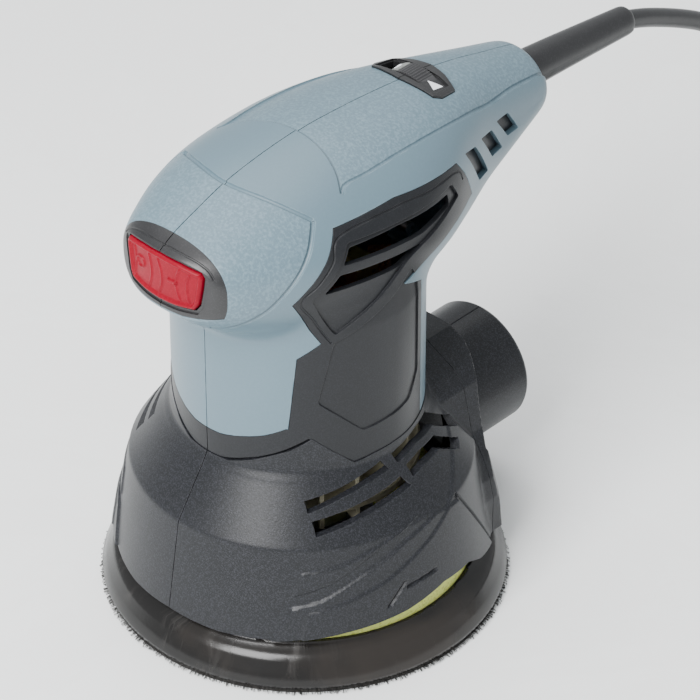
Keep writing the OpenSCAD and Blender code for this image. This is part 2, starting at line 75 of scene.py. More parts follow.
def add_mesh(name, points, faces):
    """A mesh object from points in millimetres."""
    mesh = bpy.data.meshes.new(name)
    mesh.from_pydata((np.asarray(points, float) * MM).tolist(), [], [tuple(map(int, f)) for f in faces])
    mesh.validate()
    thing = bpy.data.objects.new(name, mesh)
    bpy.context.scene.collection.objects.link(thing)
    return thing


def points_of(thing):
    flat = np.zeros(len(thing.data.vertices) * 3)
    thing.data.vertices.foreach_get("co", flat)
    return flat.reshape(-1, 3) / MM


def set_points(thing, points):
    thing.data.vertices.foreach_set("co", (points * MM).ravel())
    thing.data.update()


def outward(thing):
    """Turns every face outward, and deletes what isn't part of a face."""
    bm = bmesh.new()
    bm.from_mesh(thing.data)
    bmesh.ops.remove_doubles(bm, verts=bm.verts, dist=1e-7)
    bmesh.ops.recalc_face_normals(bm, faces=bm.faces)
    if bm.calc_volume(signed=True) < 0:
        bmesh.ops.reverse_faces(bm, faces=bm.faces)
    loose = [v for v in bm.verts if not v.link_faces]
    bmesh.ops.delete(bm, geom=loose, context="VERTS")
    bm.to_mesh(thing.data)
    bm.free()
    return thing


def copy_of(thing, name="copy"):
    twin = bpy.data.objects.new(name, thing.data.copy())
    bpy.context.scene.collection.objects.link(twin)
    return twin


def drop(*things):
    for thing in things:
        bpy.data.objects.remove(thing)


def boolean(thing, other, operation, keep=False):
    """Cuts, joins or keeps what is common, and leaves the result in thing."""
    modifier = thing.modifiers.new("boolean", "BOOLEAN")
    modifier.operation = operation
    modifier.solver = "MANIFOLD"
    modifier.object = other
    done = bpy.data.meshes.new_from_object(thing.evaluated_get(bpy.context.evaluated_depsgraph_get()))
    thing.modifiers.clear()
    old = thing.data
    thing.data = done
    bpy.data.meshes.remove(old)
    if not keep:
        drop(other)
    return thing


def cut(thing, *others):
    for other in others:
        boolean(thing, other, "DIFFERENCE")
    return thing


def common(thing, other, keep=False):
    return boolean(thing, other, "INTERSECT", keep)


def join(thing, *others):
    for other in others:
        boolean(thing, other, "UNION")
    return thing


def mirrored(thing, name):
    """A copy of thing on the other side of the seam."""
    twin = copy_of(thing, name)
    points = points_of(twin)
    points[:, 0] *= -1
    set_points(twin, points)
    twin.data.flip_normals()
    return twin


def slab(outline, place, near, far):
    """Prism over a flat outline; place puts outline point a, b and depth d in the frame."""
    n = len(outline)
    points = [place(a, b, d) for d in (near, far) for a, b in outline]
    faces = [list(range(n)), list(range(n, 2 * n))]
    faces += [[k, (k + 1) % n, n + (k + 1) % n, n + k] for k in range(n)]
    return outward(add_mesh("slab", points, faces))


def side_prism(outline, x0, x1):
    return slab(outline, lambda y, z, x: (x, y, z), x0, x1)


def top_prism(outline, z0, z1):
    return slab(outline, lambda x, y, z: (x, y, z), z0, z1)


def front_prism(outline, y0, y1):
    return slab(outline, lambda x, z, y: (x, y, z), y0, y1)


def block(low, high):
    (x0, y0, z0), (x1, y1, z1) = low, high
    return top_prism([(x0, y0), (x1, y0), (x1, y1), (x0, y1)], z0, z1)


def lathe(name, profile, steps=128, centre=(0, 0)):
    """Solid of revolution about an upright axis through centre, from a closed r, z outline off the axis."""
    n = len(profile)
    points = []
    for k in range(steps):
        a = 2 * math.pi * k / steps
        points += [(centre[0] + r * math.cos(a), centre[1] + r * math.sin(a), z) for r, z in profile]
    faces = [
        (k * n + i, k * n + (i + 1) % n, (k + 1) % steps * n + (i + 1) % n, (k + 1) % steps * n + i)
        for k in range(steps)
        for i in range(n)
    ]
    return outward(add_mesh(name, points, faces))


def turn_to_y(thing, centre):
    """Turns a lathe about the origin so that its axis runs along +Y through centre."""
    p = points_of(thing)
    set_points(thing, np.stack([p[:, 0] + centre[0], p[:, 2] + centre[1], p[:, 1] + centre[2]], 1))
    return outward(thing)


def rounded(profile, radius, steps=4):
    """The outline again with an arc of about that radius at each corner."""
    p = [Vector(q) for q in profile]
    out = []
    for i, here in enumerate(p):
        before, after = p[i - 1], p[(i + 1) % len(p)]
        u, v = (before - here), (after - here)
        r = min(radius, 0.45 * u.length, 0.45 * v.length)
        a, b = here + u.normalized() * r, here + v.normalized() * r
        for k in range(steps + 1):
            t = k / steps
            out.append(tuple((1 - t) ** 2 * a + 2 * t * (1 - t) * here + t * t * b))
    return out


def along(points, step):
    """Catmull-Rom curve through points, resampled about step apart."""
    p = np.asarray(points, float)
    p = np.vstack([2 * p[0] - p[1], p, 2 * p[-1] - p[-2]])
    out = []
    t = np.linspace(0, 1, 16, endpoint=False)[:, None]
    for a, b, c, d in zip(p[:-3], p[1:-2], p[2:-1], p[3:]):
        square, cube = 2 * a - 5 * b + 4 * c - d, 3 * b - a - 3 * c + d
        out.append(0.5 * (2 * b + (c - a) * t + square * t**2 + cube * t**3))
    fine = np.vstack([*out, p[-2]])
    s = np.concatenate([[0], np.cumsum(np.linalg.norm(np.diff(fine, axis=0), axis=1))])
    at = np.linspace(0, s[-1], max(2, round(s[-1] / step)) + 1)
    return np.stack([np.interp(at, s, fine[:, k]) for k in range(fine.shape[1])], 1)


def tube(name, path, radius, sides=12, shape=None):
    """Closed tube along path. Radius is one number or one per point; shape scales it by the angle."""
    path = np.asarray(path, float)
    n = len(path)
    radii = np.broadcast_to(radius, (n,))
    forward = np.gradient(path, axis=0)
    forward /= np.linalg.norm(forward, axis=1)[:, None]
    up = np.array([0.0, 0, 1]) if abs(forward[0][2]) < 0.9 else np.array([0.0, 1, 0])
    points = []
    angles = 2 * math.pi * np.arange(sides) / sides
    scale = np.ones(sides) if shape is None else np.array([shape(a) for a in angles])
    for i in range(n):
        up = up - forward[i] * (up @ forward[i])
        up /= np.linalg.norm(up)
        side = np.cross(forward[i], up)
        ring = np.cos(angles)[:, None] * side + np.sin(angles)[:, None] * up
        points.append(path[i] + radii[i] * scale[:, None] * ring)
    points = np.vstack([*points, path[0], path[-1]])
    faces = []
    for i in range(0, (n - 1) * sides, sides):
        for k in range(sides):
            after = (k + 1) % sides
            faces.append((i + k, i + after, i + sides + after, i + sides + k))
    last = (n - 1) * sides
    faces += [(n * sides, (k + 1) % sides, k) for k in range(sides)]
    faces += [(n * sides + 1, last + k, last + (k + 1) % sides) for k in range(sides)]
    return outward(add_mesh(name, points, faces))


def field_solid(name, field, low, high, step, level=0.0):
    """Closed mesh of the points where field(x, y, z), a distance in millimetres, is below level."""
    axes = [np.arange(a, b + step, step) for a, b in zip(low, high)]
    x, y, z = np.meshgrid(*axes, indexing="ij")
    values = field(x, y, z) - level
    for axis in range(3):
        edge = [slice(None)] * 3
        for end in (0, -1):
            edge[axis] = end
            values[tuple(edge)] = np.maximum(values[tuple(edge)], 0.3 * step)
    grid = openvdb.FloatGrid(3 * step)
    grid.copyFromArray(np.clip(values, -3 * step, 3 * step).astype(np.float32))
    points, quads = grid.convertToQuads(isovalue=0.0)
    points = points.astype(float) * step + np.array(low)
    for _ in range(2):
        points = settle(points, field, level)
    return outward(add_mesh(name, points, quads))


def settle(points, field, level=0.0):
    """Moves points onto the field's level surface, along its slope."""
    x, y, z = points.T
    h = 0.05
    value = field(x, y, z) - level
    slope = np.stack([field(x + h, y, z) - field(x - h, y, z), field(x, y + h, z) - field(x, y - h, z),
                      field(x, y, z + h) - field(x, y, z - h)], 1) / (2 * h)
    size = np.maximum((slope**2).sum(1), 0.05)
    step = np.clip(value / size, -0.6, 0.6)
    return points - slope * step[:, None]


def round_max(a, b, k):
    """Largest of two distances, with the corner between them rounded over about k."""
    h = np.clip(0.5 + 0.5 * (a - b) / k, 0, 1)
    return b + (a - b) * h + k * h * (1 - h)


def round_min(a, b, k):
    return -round_max(-a, -b, k)


def smooth(thing, angle=32):
    """Smooth shading, with edges sharper than angle kept sharp."""
    thing.data.shade_smooth()
    thing.data.set_sharp_from_angle(angle=math.radians(angle))
    return thing


def finish_piece(thing, name, body, material, replaces=(), angle=32):
    """Names a piece, gives it its finish and puts it on its body."""
    thing.name = name
    thing.data.name = name
    smooth(thing, angle)
    thing.data.materials.clear()
    thing.data.materials.append(material)
    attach(thing, body)
    if replaces:
        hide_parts(*replaces)
    return thing


# ---------- finishes ----------


class Finish:
    """A procedural material, built up one layer at a time. Scales are in features per metre."""

    def __init__(self, name, colour, roughness, metallic=0.0):
        self.material = bpy.data.materials.new(name)
        self.material.use_nodes = True
        self.tree = self.material.node_tree
        self.shader = self.tree.nodes["Principled BSDF"]
        self.shader.inputs["Metallic"].default_value = metallic
        self.place = self.add("ShaderNodeTexCoord").outputs["Object"]
        self.colour = self.rgb(colour)
        self.roughness = self.number(roughness)
        self.normal = None

    def add(self, kind, **settings):
        node = self.tree.nodes.new(kind)
        for key, value in settings.items():
            setattr(node, key, value)
        return node

    def link(self, a, b):
        self.tree.links.new(a, b)

    def rgb(self, colour):
        node = self.add("ShaderNodeRGB")
        node.outputs[0].default_value = (*colour, 1)
        return node.outputs[0]

    def number(self, value):
        node = self.add("ShaderNodeValue")
        node.outputs[0].default_value = value
        return node.outputs[0]

    def math(self, operation, a, b=0.0, c=0.0, clamp=False):
        node = self.add("ShaderNodeMath", operation=operation, use_clamp=clamp)
        for k, value in enumerate((a, b, c)):
            if isinstance(value, (int, float)):
                node.inputs[k].default_value = value
            else:
                self.link(value, node.inputs[k])
        return node.outputs[0]

    def mix(self, a, b, share):
        """Mixes two colours by a socket or a number."""
        node = self.add("ShaderNodeMix", data_type="RGBA")
        for index, value in ((0, share), (6, a), (7, b)):
            if isinstance(value, (int, float)):
                node.inputs[index].default_value = value
            elif isinstance(value, tuple):
                node.inputs[index].default_value = (*value, 1)
            else:
                self.link(value, node.inputs[index])
        return node.outputs[2]

    def ramp(self, value, low, high):
        """0 where value is below low, 1 where it is above high."""
        node = self.add("ShaderNodeMapRange", interpolation_type="SMOOTHSTEP")
        self.link(value, node.inputs["Value"])
        node.inputs["From Min"].default_value = low
        node.inputs["From Max"].default_value = high
        return node.outputs["Result"]

    def noise(self, scale, detail=3.0, stretch=(1, 1, 1), at=None, rough=0.55, distortion=0.0):
        mapping = self.add("ShaderNodeMapping")
        mapping.inputs["Scale"].default_value = stretch
        self.link(at or self.place, mapping.inputs["Vector"])
        node = self.add("ShaderNodeTexNoise")
        self.link(mapping.outputs[0], node.inputs["Vector"])
        node.inputs["Scale"].default_value = scale
        node.inputs["Detail"].default_value = detail
        node.inputs["Roughness"].default_value = rough
        node.inputs["Distortion"].default_value = distortion
        return node.outputs["Fac"]

    def cells(self, scale, output="Color", feature="F1"):
        node = self.add("ShaderNodeTexVoronoi", feature=feature)
        self.link(self.place, node.inputs["Vector"])
        node.inputs["Scale"].default_value = scale
        return node.outputs[output]

    def attribute(self, name):
        return self.add("ShaderNodeAttribute", attribute_name=name).outputs["Fac"]

    def channel(self, colour, index=0):
        node = self.add("ShaderNodeSeparateColor")
        self.link(colour, node.inputs[0])
        return node.outputs[index]

    def round_angle(self, centre_x=0.0):
        """Position wrapped round an upright axis: angle times 50 mm, height, radius."""
        node = self.add("ShaderNodeSeparateXYZ")
        self.link(self.place, node.inputs[0])
        x = self.math("SUBTRACT", node.outputs[0], centre_x * MM)
        angle = self.math("MULTIPLY", self.math("ARCTAN2", node.outputs[1], x), 0.05)
        out = self.add("ShaderNodeCombineXYZ")
        self.link(angle, out.inputs[0])
        self.link(node.outputs[2], out.inputs[1])
        return out.outputs[0]

    def tint(self, colour, share):
        self.colour = self.mix(self.colour, colour, share)
        return self

    def cloud(self, amount, scale=30.0):
        """Slow variation of the colour and the roughness."""
        value = self.noise(scale, 4.0)
        bright = self.math("MULTIPLY_ADD", value, 2 * amount, 1 - amount)
        node = self.add("ShaderNodeVectorMath", operation="SCALE")
        self.link(self.colour, node.inputs[0])
        self.link(bright, node.inputs["Scale"])
        self.colour = node.outputs[0]
        self.roughen(self.math("MULTIPLY_ADD", value, amount, -0.5 * amount))
        return self

    def roughen(self, extra):
        self.roughness = self.math("ADD", self.roughness, extra, clamp=True)
        return self

    def flecks(self, colour, scale, share, amount=1.0, gloss=0.0):
        """Small random grains of another colour."""
        picked = self.ramp(self.channel(self.cells(scale)), 1 - share, 1 - 0.6 * share)
        picked = self.math("MULTIPLY", picked, amount)
        self.tint(colour, picked)
        if gloss:
            self.roughen(self.math("MULTIPLY", picked, -gloss))
        return self

    def bump(self, height, depth, strength=1.0):
        """Adds relief from a height socket; depth is in millimetres."""
        node = self.add("ShaderNodeBump")
        node.inputs["Strength"].default_value = strength
        node.inputs["Distance"].default_value = depth * MM
        self.link(height, node.inputs["Height"])
        if self.normal:
            self.link(self.normal, node.inputs["Normal"])
        self.normal = node.outputs[0]
        return self

    def grain(self, scale, depth, mask=None, detail=2.0):
        """Moulded or worn texture, scaled by a mask where there is one."""
        height = self.noise(scale, detail)
        if mask:
            height = self.math("MULTIPLY", height, mask)
        return self.bump(height, depth)

    def edges(self, radius):
        """Softens edges sharper than they would be moulded."""
        node = self.add("ShaderNodeBevel", samples=4)
        node.inputs["Radius"].default_value = radius * MM
        self.normal = node.outputs[0]
        return self

    def wear_and_edge_highlight(self, colour, radius, amount):
        """Lighter edges, where the surface turns within radius: partly rubbed wear, partly a painted edge
        highlight.
        """
        bevel = self.add("ShaderNodeBevel", samples=4)
        bevel.inputs["Radius"].default_value = radius * MM
        plain = self.add("ShaderNodeNewGeometry").outputs["Normal"]
        dot = self.add("ShaderNodeVectorMath", operation="DOT_PRODUCT")
        self.link(bevel.outputs[0], dot.inputs[0])
        self.link(plain, dot.inputs[1])
        edge = self.ramp(self.math("SUBTRACT", 1.0, dot.outputs["Value"]), 0.02, 0.16)
        patchy = self.math("MULTIPLY", edge, self.ramp(self.noise(220, 4.0), 0.35, 0.7))
        # tints the edges lighter: partly wear, partly a painted edge highlight
        return self.tint(colour, self.math("MULTIPLY", patchy, amount))

    def set(self, **sockets):
        """Constants straight on the shader's own sockets."""
        for name, value in sockets.items():
            self.shader.inputs[name.replace("_", " ")].default_value = value
        return self

    def done(self):
        self.link(self.colour, self.shader.inputs["Base Color"])
        self.link(self.roughness, self.shader.inputs["Roughness"])
        if self.normal:
            self.link(self.normal, self.shader.inputs["Normal"])
        return self.material


def grey_shell():
    """Pale blue-grey housing, pebbled where the attribute says; its lighter speckle there is partly pebbled
    grain, partly a painted highlight.
    """
    f = Finish("grey_shell", (0.097, 0.154, 0.19), 0.36).edges(0.3)
    pebble_and_highlight = f.attribute("pebble_and_highlight")
    f.cloud(0.05, 25)
    speckle = f.ramp(f.noise(1100, 2.0), 0.4, 0.7)
    # lighter speckle, far stronger on the pebbled zones: partly pebbled grain, partly a painted highlight
    # that brightens the nose
    f.tint((0.165, 0.24, 0.285), f.math("MULTIPLY", speckle, f.math("MULTIPLY_ADD", pebble_and_highlight, 0.5, 0.06)))
    f.roughen(f.math("MULTIPLY", pebble_and_highlight, 0.05))
    # lighter edges: partly wear, partly a painted edge highlight
    f.wear_and_edge_highlight((0.3, 0.39, 0.43), 0.5, 0.5)
    f.grain(800, 0.12, f.math("MULTIPLY_ADD", pebble_and_highlight, 0.9, 0.06), 2.0)
    f.grain(2600, 0.015)
    return f.done()


def black_shell(name="black_shell", fleck=0.05):
    """Charcoal moulding with a fine metallic grain."""
    f = Finish(name, (0.0095, 0.0103, 0.012), 0.38).edges(0.3)
    f.cloud(0.1, 40).flecks((0.1, 0.1, 0.125), 4200, 0.35, fleck, 0.05)
    # lighter edges: partly wear, partly a painted edge highlight
    f.wear_and_edge_highlight((0.1, 0.1, 0.11), 0.35, 0.4)
    f.grain(1900, 0.03).grain(4200, 0.015)
    return f.set(Specular_IOR_Level=0.26).done()


def plain_black(name, colour=(0.011, 0.011, 0.012), roughness=0.38, relief=0.02):
    """Plain black moulding with a light sheen and fine wear."""
    f = Finish(name, colour, roughness).edges(0.25)
    f.cloud(0.15, 60).flecks((0.05, 0.05, 0.055), 4200, 0.2, 0.25)
    # lighter edges: partly wear, partly a painted edge highlight
    f.wear_and_edge_highlight((0.07, 0.07, 0.07), 0.35, 0.4)
    f.grain(2200, relief)
    return f.done()


def red_rubber():
    f = Finish("red_rubber", (0.2, 0.0008, 0.0105), 0.34).edges(0.2)
    # lighter red edges: partly wear, partly a painted edge highlight
    f.cloud(0.08, 90).wear_and_edge_highlight((0.38, 0.012, 0.03), 0.4, 0.4)
    f.flecks((0.3, 0.008, 0.025), 2600, 0.3, 0.3).grain(2400, 0.015)
    return f.set(Subsurface_Weight=0.05, Specular_IOR_Level=0.13).done()


def pad_rubber():
    """Scuffed glossy rubber: dust, fine upright scratches and rubbed patches."""
    f = Finish("pad_rubber", (0.007, 0.0065, 0.0063), 0.2).edges(0.4)
    wrap = f.round_angle(PAD_X)
    scuff = f.ramp(f.noise(140, 8.0, (1, 0.35, 1), wrap, 0.72, 0.6), 0.5, 0.78)
    front = f.ramp(f.noise(16, 2.0, (1, 0.2, 1), wrap), 0.45, 0.65)
    scratch = f.ramp(f.noise(420, 5.0, (1, 0.06, 1), wrap, 0.7), 0.58, 0.75)
    dust = f.math("MULTIPLY", scuff, f.math("MULTIPLY_ADD", front, 0.7, 0.3))
    f.tint((0.09, 0.083, 0.078), f.math("MULTIPLY", dust, 0.75))
    f.tint((0.2, 0.19, 0.18), f.math("MULTIPLY", f.math("MULTIPLY", scratch, front), 0.22))
    f.tint((0.018, 0.015, 0.013), f.ramp(f.noise(24, 3.0), 0.5, 0.7))
    f.roughen(f.math("MULTIPLY", dust, 0.3)).roughen(f.math("MULTIPLY", scratch, 0.08))
    f.bump(scuff, 0.03).bump(scratch, 0.015).grain(1800, 0.012)
    return f.set(Specular_IOR_Level=0.34).done()


def yellow_foam():
    f = Finish("yellow_foam", (0.62, 0.66, 0.17), 0.7)
    f.cloud(0.1, 60).flecks((0.36, 0.38, 0.04), 1500, 0.25, 0.5)
    f.flecks((0.7, 0.72, 0.25), 2500, 0.2, 0.4)
    f.bump(f.cells(1100, "Distance"), 0.12).grain(2600, 0.04)
    return f.set(Subsurface_Weight=0.08).done()


def cloth_hooks(name="hook_fabric"):
    f = Finish(name, (0.013, 0.012, 0.011), 0.62)
    f.cloud(0.25, 200).flecks((0.04, 0.036, 0.032), 1800, 0.3, 0.5)
    f.bump(f.cells(1400, "Distance"), 0.25)
    return f.done()


def metal(name, colour, roughness, brushed=0.0, spots=(0.1, 0.08, 0.06)):
    f = Finish(name, colour, roughness, 1.0).edges(0.2)
    f.cloud(0.12, 80).flecks(spots, 900, 0.06, 0.4)
    # lighter edges: partly wear, partly a painted edge highlight
    f.wear_and_edge_highlight(tuple(min(1, 1.25 * c) for c in colour), 0.4, 0.4)
    if brushed:
        f.bump(f.noise(700, 3.0, (1, 1, 0.04)), brushed)
    f.grain(2500, 0.01)
    return f.done()


def laminated():
    """Stacked steel sheets, edge on."""
    f = Finish("laminations", (0.17, 0.17, 0.175), 0.42, 0.9)
    f.cloud(0.25, 90)
    layers = f.ramp(f.noise(900, 0.0, (0.01, 0.01, 1)), 0.42, 0.58)
    f.tint((0.06, 0.055, 0.05), f.math("MULTIPLY", layers, 0.6)).bump(layers, 0.08)
    return f.done()


def wound_copper():
    """Enamelled wire, wound flat."""
    f = Finish("copper", (0.5, 0.17, 0.06), 0.3, 0.85)
    wrap = f.noise(1500, 1.0, (1, 1, 0.05))
    f.cloud(0.2, 120).tint((0.22, 0.06, 0.02), f.math("MULTIPLY", wrap, 0.7))
    f.bump(wrap, 0.3)
    return f.done()


def dull(name, colour, roughness=0.6, spots=(0.02, 0.02, 0.02), relief=0.03):
    f = Finish(name, colour, roughness).edges(0.2)
    f.cloud(0.12, 90).flecks(spots, 1600, 0.2, 0.3).grain(1700, relief)
    return f.done()


def fan_nylon():
    f = Finish("fan_plastic", (0.42, 0.39, 0.28), 0.45).edges(0.25)
    f.cloud(0.12, 70).flecks((0.25, 0.21, 0.14), 500, 0.15, 0.4).grain(1500, 0.02)
    return f.done()


def cord_sheath(name="cord_rubber"):
    f = Finish(name, (0.011, 0.011, 0.012), 0.36)
    f.cloud(0.15, 120).flecks((0.04, 0.04, 0.045), 3600, 0.2, 0.25)
    f.grain(260, 0.05).grain(2400, 0.012)
    return f.done()


def print_white():
    f = Finish("print_white", (0.75, 0.77, 0.8), 0.5)
    f.cloud(0.08, 300).tint((0.2, 0.2, 0.2), f.ramp(f.noise(3000, 3.0), 0.66, 0.75)).grain(3000, 0.01)
    return f.done()


def pale_stone():
    f = Finish("pale_stone", (0.9, 0.91, 0.905), 0.6)
    veins = f.ramp(f.noise(5, 8.0, (1, 1, 1), None, 0.7, 1.6), 0.5, 0.53)
    f.cloud(0.03, 4).tint((0.7, 0.69, 0.67), f.math("MULTIPLY", veins, 0.06))
    f.grain(60, 0.1)
    return f.done()


FINISH = {
    "grey_shell": grey_shell(),
    "black_shell": black_shell(),
    "black_trim": plain_black("black_trim"),
    "red_rubber": red_rubber(),
    "dial_plastic": plain_black("dial_plastic", (0.03, 0.03, 0.032), 0.5),
    "board_box": dull("board_box", (0.03, 0.09, 0.05), 0.5, (0.1, 0.12, 0.06)),
    "rubber": dull("rubber", (0.02, 0.02, 0.02), 0.7, (0.05, 0.05, 0.05)),
    "laminations": laminated(),
    "copper": wound_copper(),
    "steel": metal("steel", (0.5, 0.5, 0.51), 0.3, 0.02),
    "brass": metal("brass", (0.62, 0.43, 0.16), 0.35, 0.02),
    "carbon": dull("carbon", (0.02, 0.02, 0.022), 0.55, (0.08, 0.08, 0.08)),
    "fan_plastic": fan_nylon(),
    "cast_alloy": metal("cast_alloy", (0.33, 0.34, 0.35), 0.5),
    "pad_rubber": pad_rubber(),
    "yellow_foam": yellow_foam(),
    "hook_fabric": cloth_hooks(),
    "film_capacitor": dull("film_capacitor", (0.5, 0.32, 0.05), 0.35, (0.3, 0.18, 0.03)),
    "wire": dull("wire", (0.3, 0.06, 0.03), 0.45, (0.16, 0.03, 0.02)),
    "cord_rubber": cord_sheath(),
    "plug_plastic": plain_black("plug_plastic", (0.018, 0.018, 0.02), 0.48, 0.03),
    "nickel": metal("nickel", (0.62, 0.61, 0.58), 0.18, 0.01),
    "skirt_shell": black_shell("skirt_shell", 0.16),
    "sleeve_rubber": cord_sheath("sleeve_rubber"),
    "hook_fibres": cloth_hooks("hook_fibres"),
    "pale_scale": dull("pale_scale", (0.2, 0.21, 0.2), 0.45, (0.12, 0.12, 0.12), 0.01),
    "print_white": print_white(),
}


def finish_pair(thing, name, finish, node, angle=28):
    """Finishes a piece of the housing's right half, and its mirror image."""
    for side, half in (("right", thing), ("left", mirrored(thing, "left"))):
        finish_piece(half, f"{side}_{name}", "housing", FINISH[finish], (f"{side}_{node}",), angle)


# ---------- camera, light and floor ----------

VIEW_AZIMUTH, VIEW_ELEVATION = math.radians(43.336), math.radians(36.048)
VIEW_FROM = (672.785, -691.366, 782.646)
VIEW_LENS = 205.71
FLOOR_REACH = 4000


def make_camera():
    data = bpy.data.cameras.new("camera")
    data.sensor_width = 36
    data.lens = VIEW_LENS
    data.clip_start, data.clip_end = 0.05, 20
    camera = bpy.data.objects.new("camera", data)
    bpy.context.scene.collection.objects.link(camera)
    camera.location = Vector(VIEW_FROM) * MM
    camera.rotation_euler = (math.pi / 2 - VIEW_ELEVATION, 0, VIEW_AZIMUTH)
    bpy.context.scene.camera = camera


def soft_light(name, place, target, size, power, colour=(1, 1, 1)):
    data = bpy.data.lights.new(name, "AREA")
    data.shape = "RECTANGLE"
    data.size, data.size_y = size
    data.energy = power
    data.color = colour
    lamp = bpy.data.objects.new(name, data)
    bpy.context.scene.collection.objects.link(lamp)
    lamp.location = place
    lamp.rotation_euler = (Vector(target) - Vector(place)).to_track_quat("-Z", "Y").to_euler()


def make_studio():
    world = bpy.data.worlds.new("world")
    bpy.context.scene.world = world
    world.use_nodes = True
    sky = world.node_tree.nodes["Background"]
    sky.inputs["Color"].default_value = (0.95, 0.98, 1, 1)
    sky.inputs["Strength"].default_value = 0.86
    soft_light("window", (0.2, -1.06, 1.04), (0, 0, 0.06), (0.7, 0.9), 44)
    soft_light("ceiling", (-0.5, 0.3, 1.6), (0, 0.03, 0.05), (1.4, 1.4), 18)
    corners = [(FLOOR_REACH * i, FLOOR_REACH * j, 0) for i, j in ((-1, -1), (1, -1), (1, 1), (-1, 1))]
    floor = add_mesh("floor", corners, [(0, 1, 2, 3)])
    floor.data.materials.append(pale_stone())


# ---------- cord ----------

CORD = [
    (0, 147, 130.4), (0, 155, 127.6), (0, 164, 123.8), (0.2, 175, 118.6), (0.6, 185, 113.2),
    (2, 194, 107.2), (5, 202.5, 100.6), (9.6, 210, 93), (15.5, 216.5, 84.6), (22, 222, 75.4),
    (28.5, 226.8, 65.8), (35, 231, 56), (41.5, 234.8, 46.4), (48.2, 238, 37.4), (55.4, 240.6, 29.2),
    (63.2, 242.6, 22), (71.6, 243.8, 16.2), (80.4, 244.3, 12), (89.5, 244.2, 9.8),
]
LEAD = [(134.4, 195, 3.3), (134.4, 185, 3.3), (134.4, 174, 3.8), (134.4, 164, 5.2), (134.4, 155, 6.6)]
COIL_C = (85, 195)       # centre of the coil
COIL_IN, COIL_OUT = 24.6, 49.4   # radii of the coil's inner and outer turns
COIL_TOP, COIL_LOW = 9.3, 3.1    # heights of its two layers
COIL_START = 84.8        # angle at which the cord joins the coil, in degrees
CHANGE = 180             # angle over which it drops from the upper layer to the lower


def coil_points():
    """Clockwise from above: in along the upper layer, down, and out along the lower layer."""
    layer = (8 * 360 + COIL_START - CHANGE) / 2
    out = []
    for turned in np.arange(6, 2 * layer + CHANGE, 6.0):
        inward = min(turned, layer) / layer
        dropped = min(max((turned - layer) / CHANGE, 0), 1)
        outward_share = max(turned - layer - CHANGE, 0) / layer
        radius = COIL_OUT - (COIL_OUT - COIL_IN) * (inward - outward_share)
        radius -= 0.7 * math.sin(math.pi * dropped)
        height = COIL_TOP + (COIL_LOW - COIL_TOP) * dropped * dropped * (3 - 2 * dropped)
        if turned < 60:
            height += 0.5 * (1 - turned / 60)
        a = math.radians(COIL_START - turned)
        out.append((COIL_C[0] + radius * math.cos(a), COIL_C[1] + radius * math.sin(a), height + 0.05))
    return out


def make_cord():
    route = along([*CORD, *coil_points(), *LEAD], 2.4)

    def two_core(a):
        return 1 - 0.07 * math.exp(-((math.sin(a) / 0.16) ** 2))

    cord = tube("mains_cord", route, CORD_D / 2, 20, two_core)
    finish_piece(cord, "mains_cord", "housing", FINISH["cord_rubber"],
                 ("cord_tube", "cord_coil", "cord_lead"), 60)
    length = float(np.linalg.norm(np.diff(route, axis=0), axis=1).sum()) * MM
    return cord, route, length


def make_plug():
    """Moulded two-pole plug: a flared body with grip ridges and a ribbed neck."""
    low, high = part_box("cord_plug")
    cx, y1, y0 = (low.x + high.x) / 2 / MM, high.y / MM, low.y / MM
    height = (high.z - low.z) / MM

    def field(x, y, z):
        run = np.clip((y1 - y) / (y1 - y0), 0, 1)
        half = np.interp(run, [0, 0.15, 0.3, 0.8, 1], [5, 7.2, 16, 18.3, 16.5])
        thick = np.interp(run, [0, 0.2, 0.35, 0.8, 1], [5, 5.6, 6.9, 6.9, 6.2])
        thick = thick - 0.35 * (0.5 + 0.5 * np.cos(run * 62.8)) * ((run > 0.36) & (run < 0.82))
        sides = round_max(np.abs(x - cx) - half, np.abs(z - height / 2) - thick, 3.0)
        ends = np.maximum(y - y1, y0 - y)
        return round_max(sides, ends, 1.6)

    plug = field_solid("plug", field, (cx - 20, y0 - 2, -1), (cx + 20, y1 + 2, height + 1), 0.6)
    finish_piece(plug, "mains_plug", "housing", FINISH["plug_plastic"], ("cord_plug",), 50)
    low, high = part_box("plug_pins")
    r = (high.z - low.z) / 2 / MM
    pins = []
    for x in (low.x / MM + r, high.x / MM - r):
        profile = [(0.01, 0), (r, 0), (r, 16.4), (r - 0.5, 18), (r - 1.4, 19), (0.01, 19)]
        pin = lathe("pin", profile, 32)
        p = points_of(pin)
        z = (low.z + high.z) / 2 / MM
        set_points(pin, np.stack([p[:, 0] + x, high.y / MM - p[:, 2], p[:, 1] + z], 1))
        pins.append(outward(pin))
    join(pins[0], pins[1])
    finish_piece(pins[0], "plug_contacts", "housing", FINISH["nickel"], ("plug_pins",), 50)
    return plug, pins[0]


# ---------- outlines ----------


def grown(outline, distance):
    """The outline moved outward by distance, or inward where it is negative."""
    p = np.asarray(outline, float)
    after, before = np.roll(p, -1, 0), np.roll(p, 1, 0)
    area = (p[:, 0] * after[:, 1] - after[:, 0] * p[:, 1]).sum()
    turn = 1 if area > 0 else -1

    def normal(edge):
        n = np.stack([edge[:, 1], -edge[:, 0]], 1) * turn
        return n / np.linalg.norm(n, axis=1)[:, None]

    a, b = normal(p - before), normal(after - p)
    middle = a + b
    middle /= np.maximum((middle**2).sum(1), 0.6)[:, None] / 2
    return [tuple(q) for q in p + distance * middle]


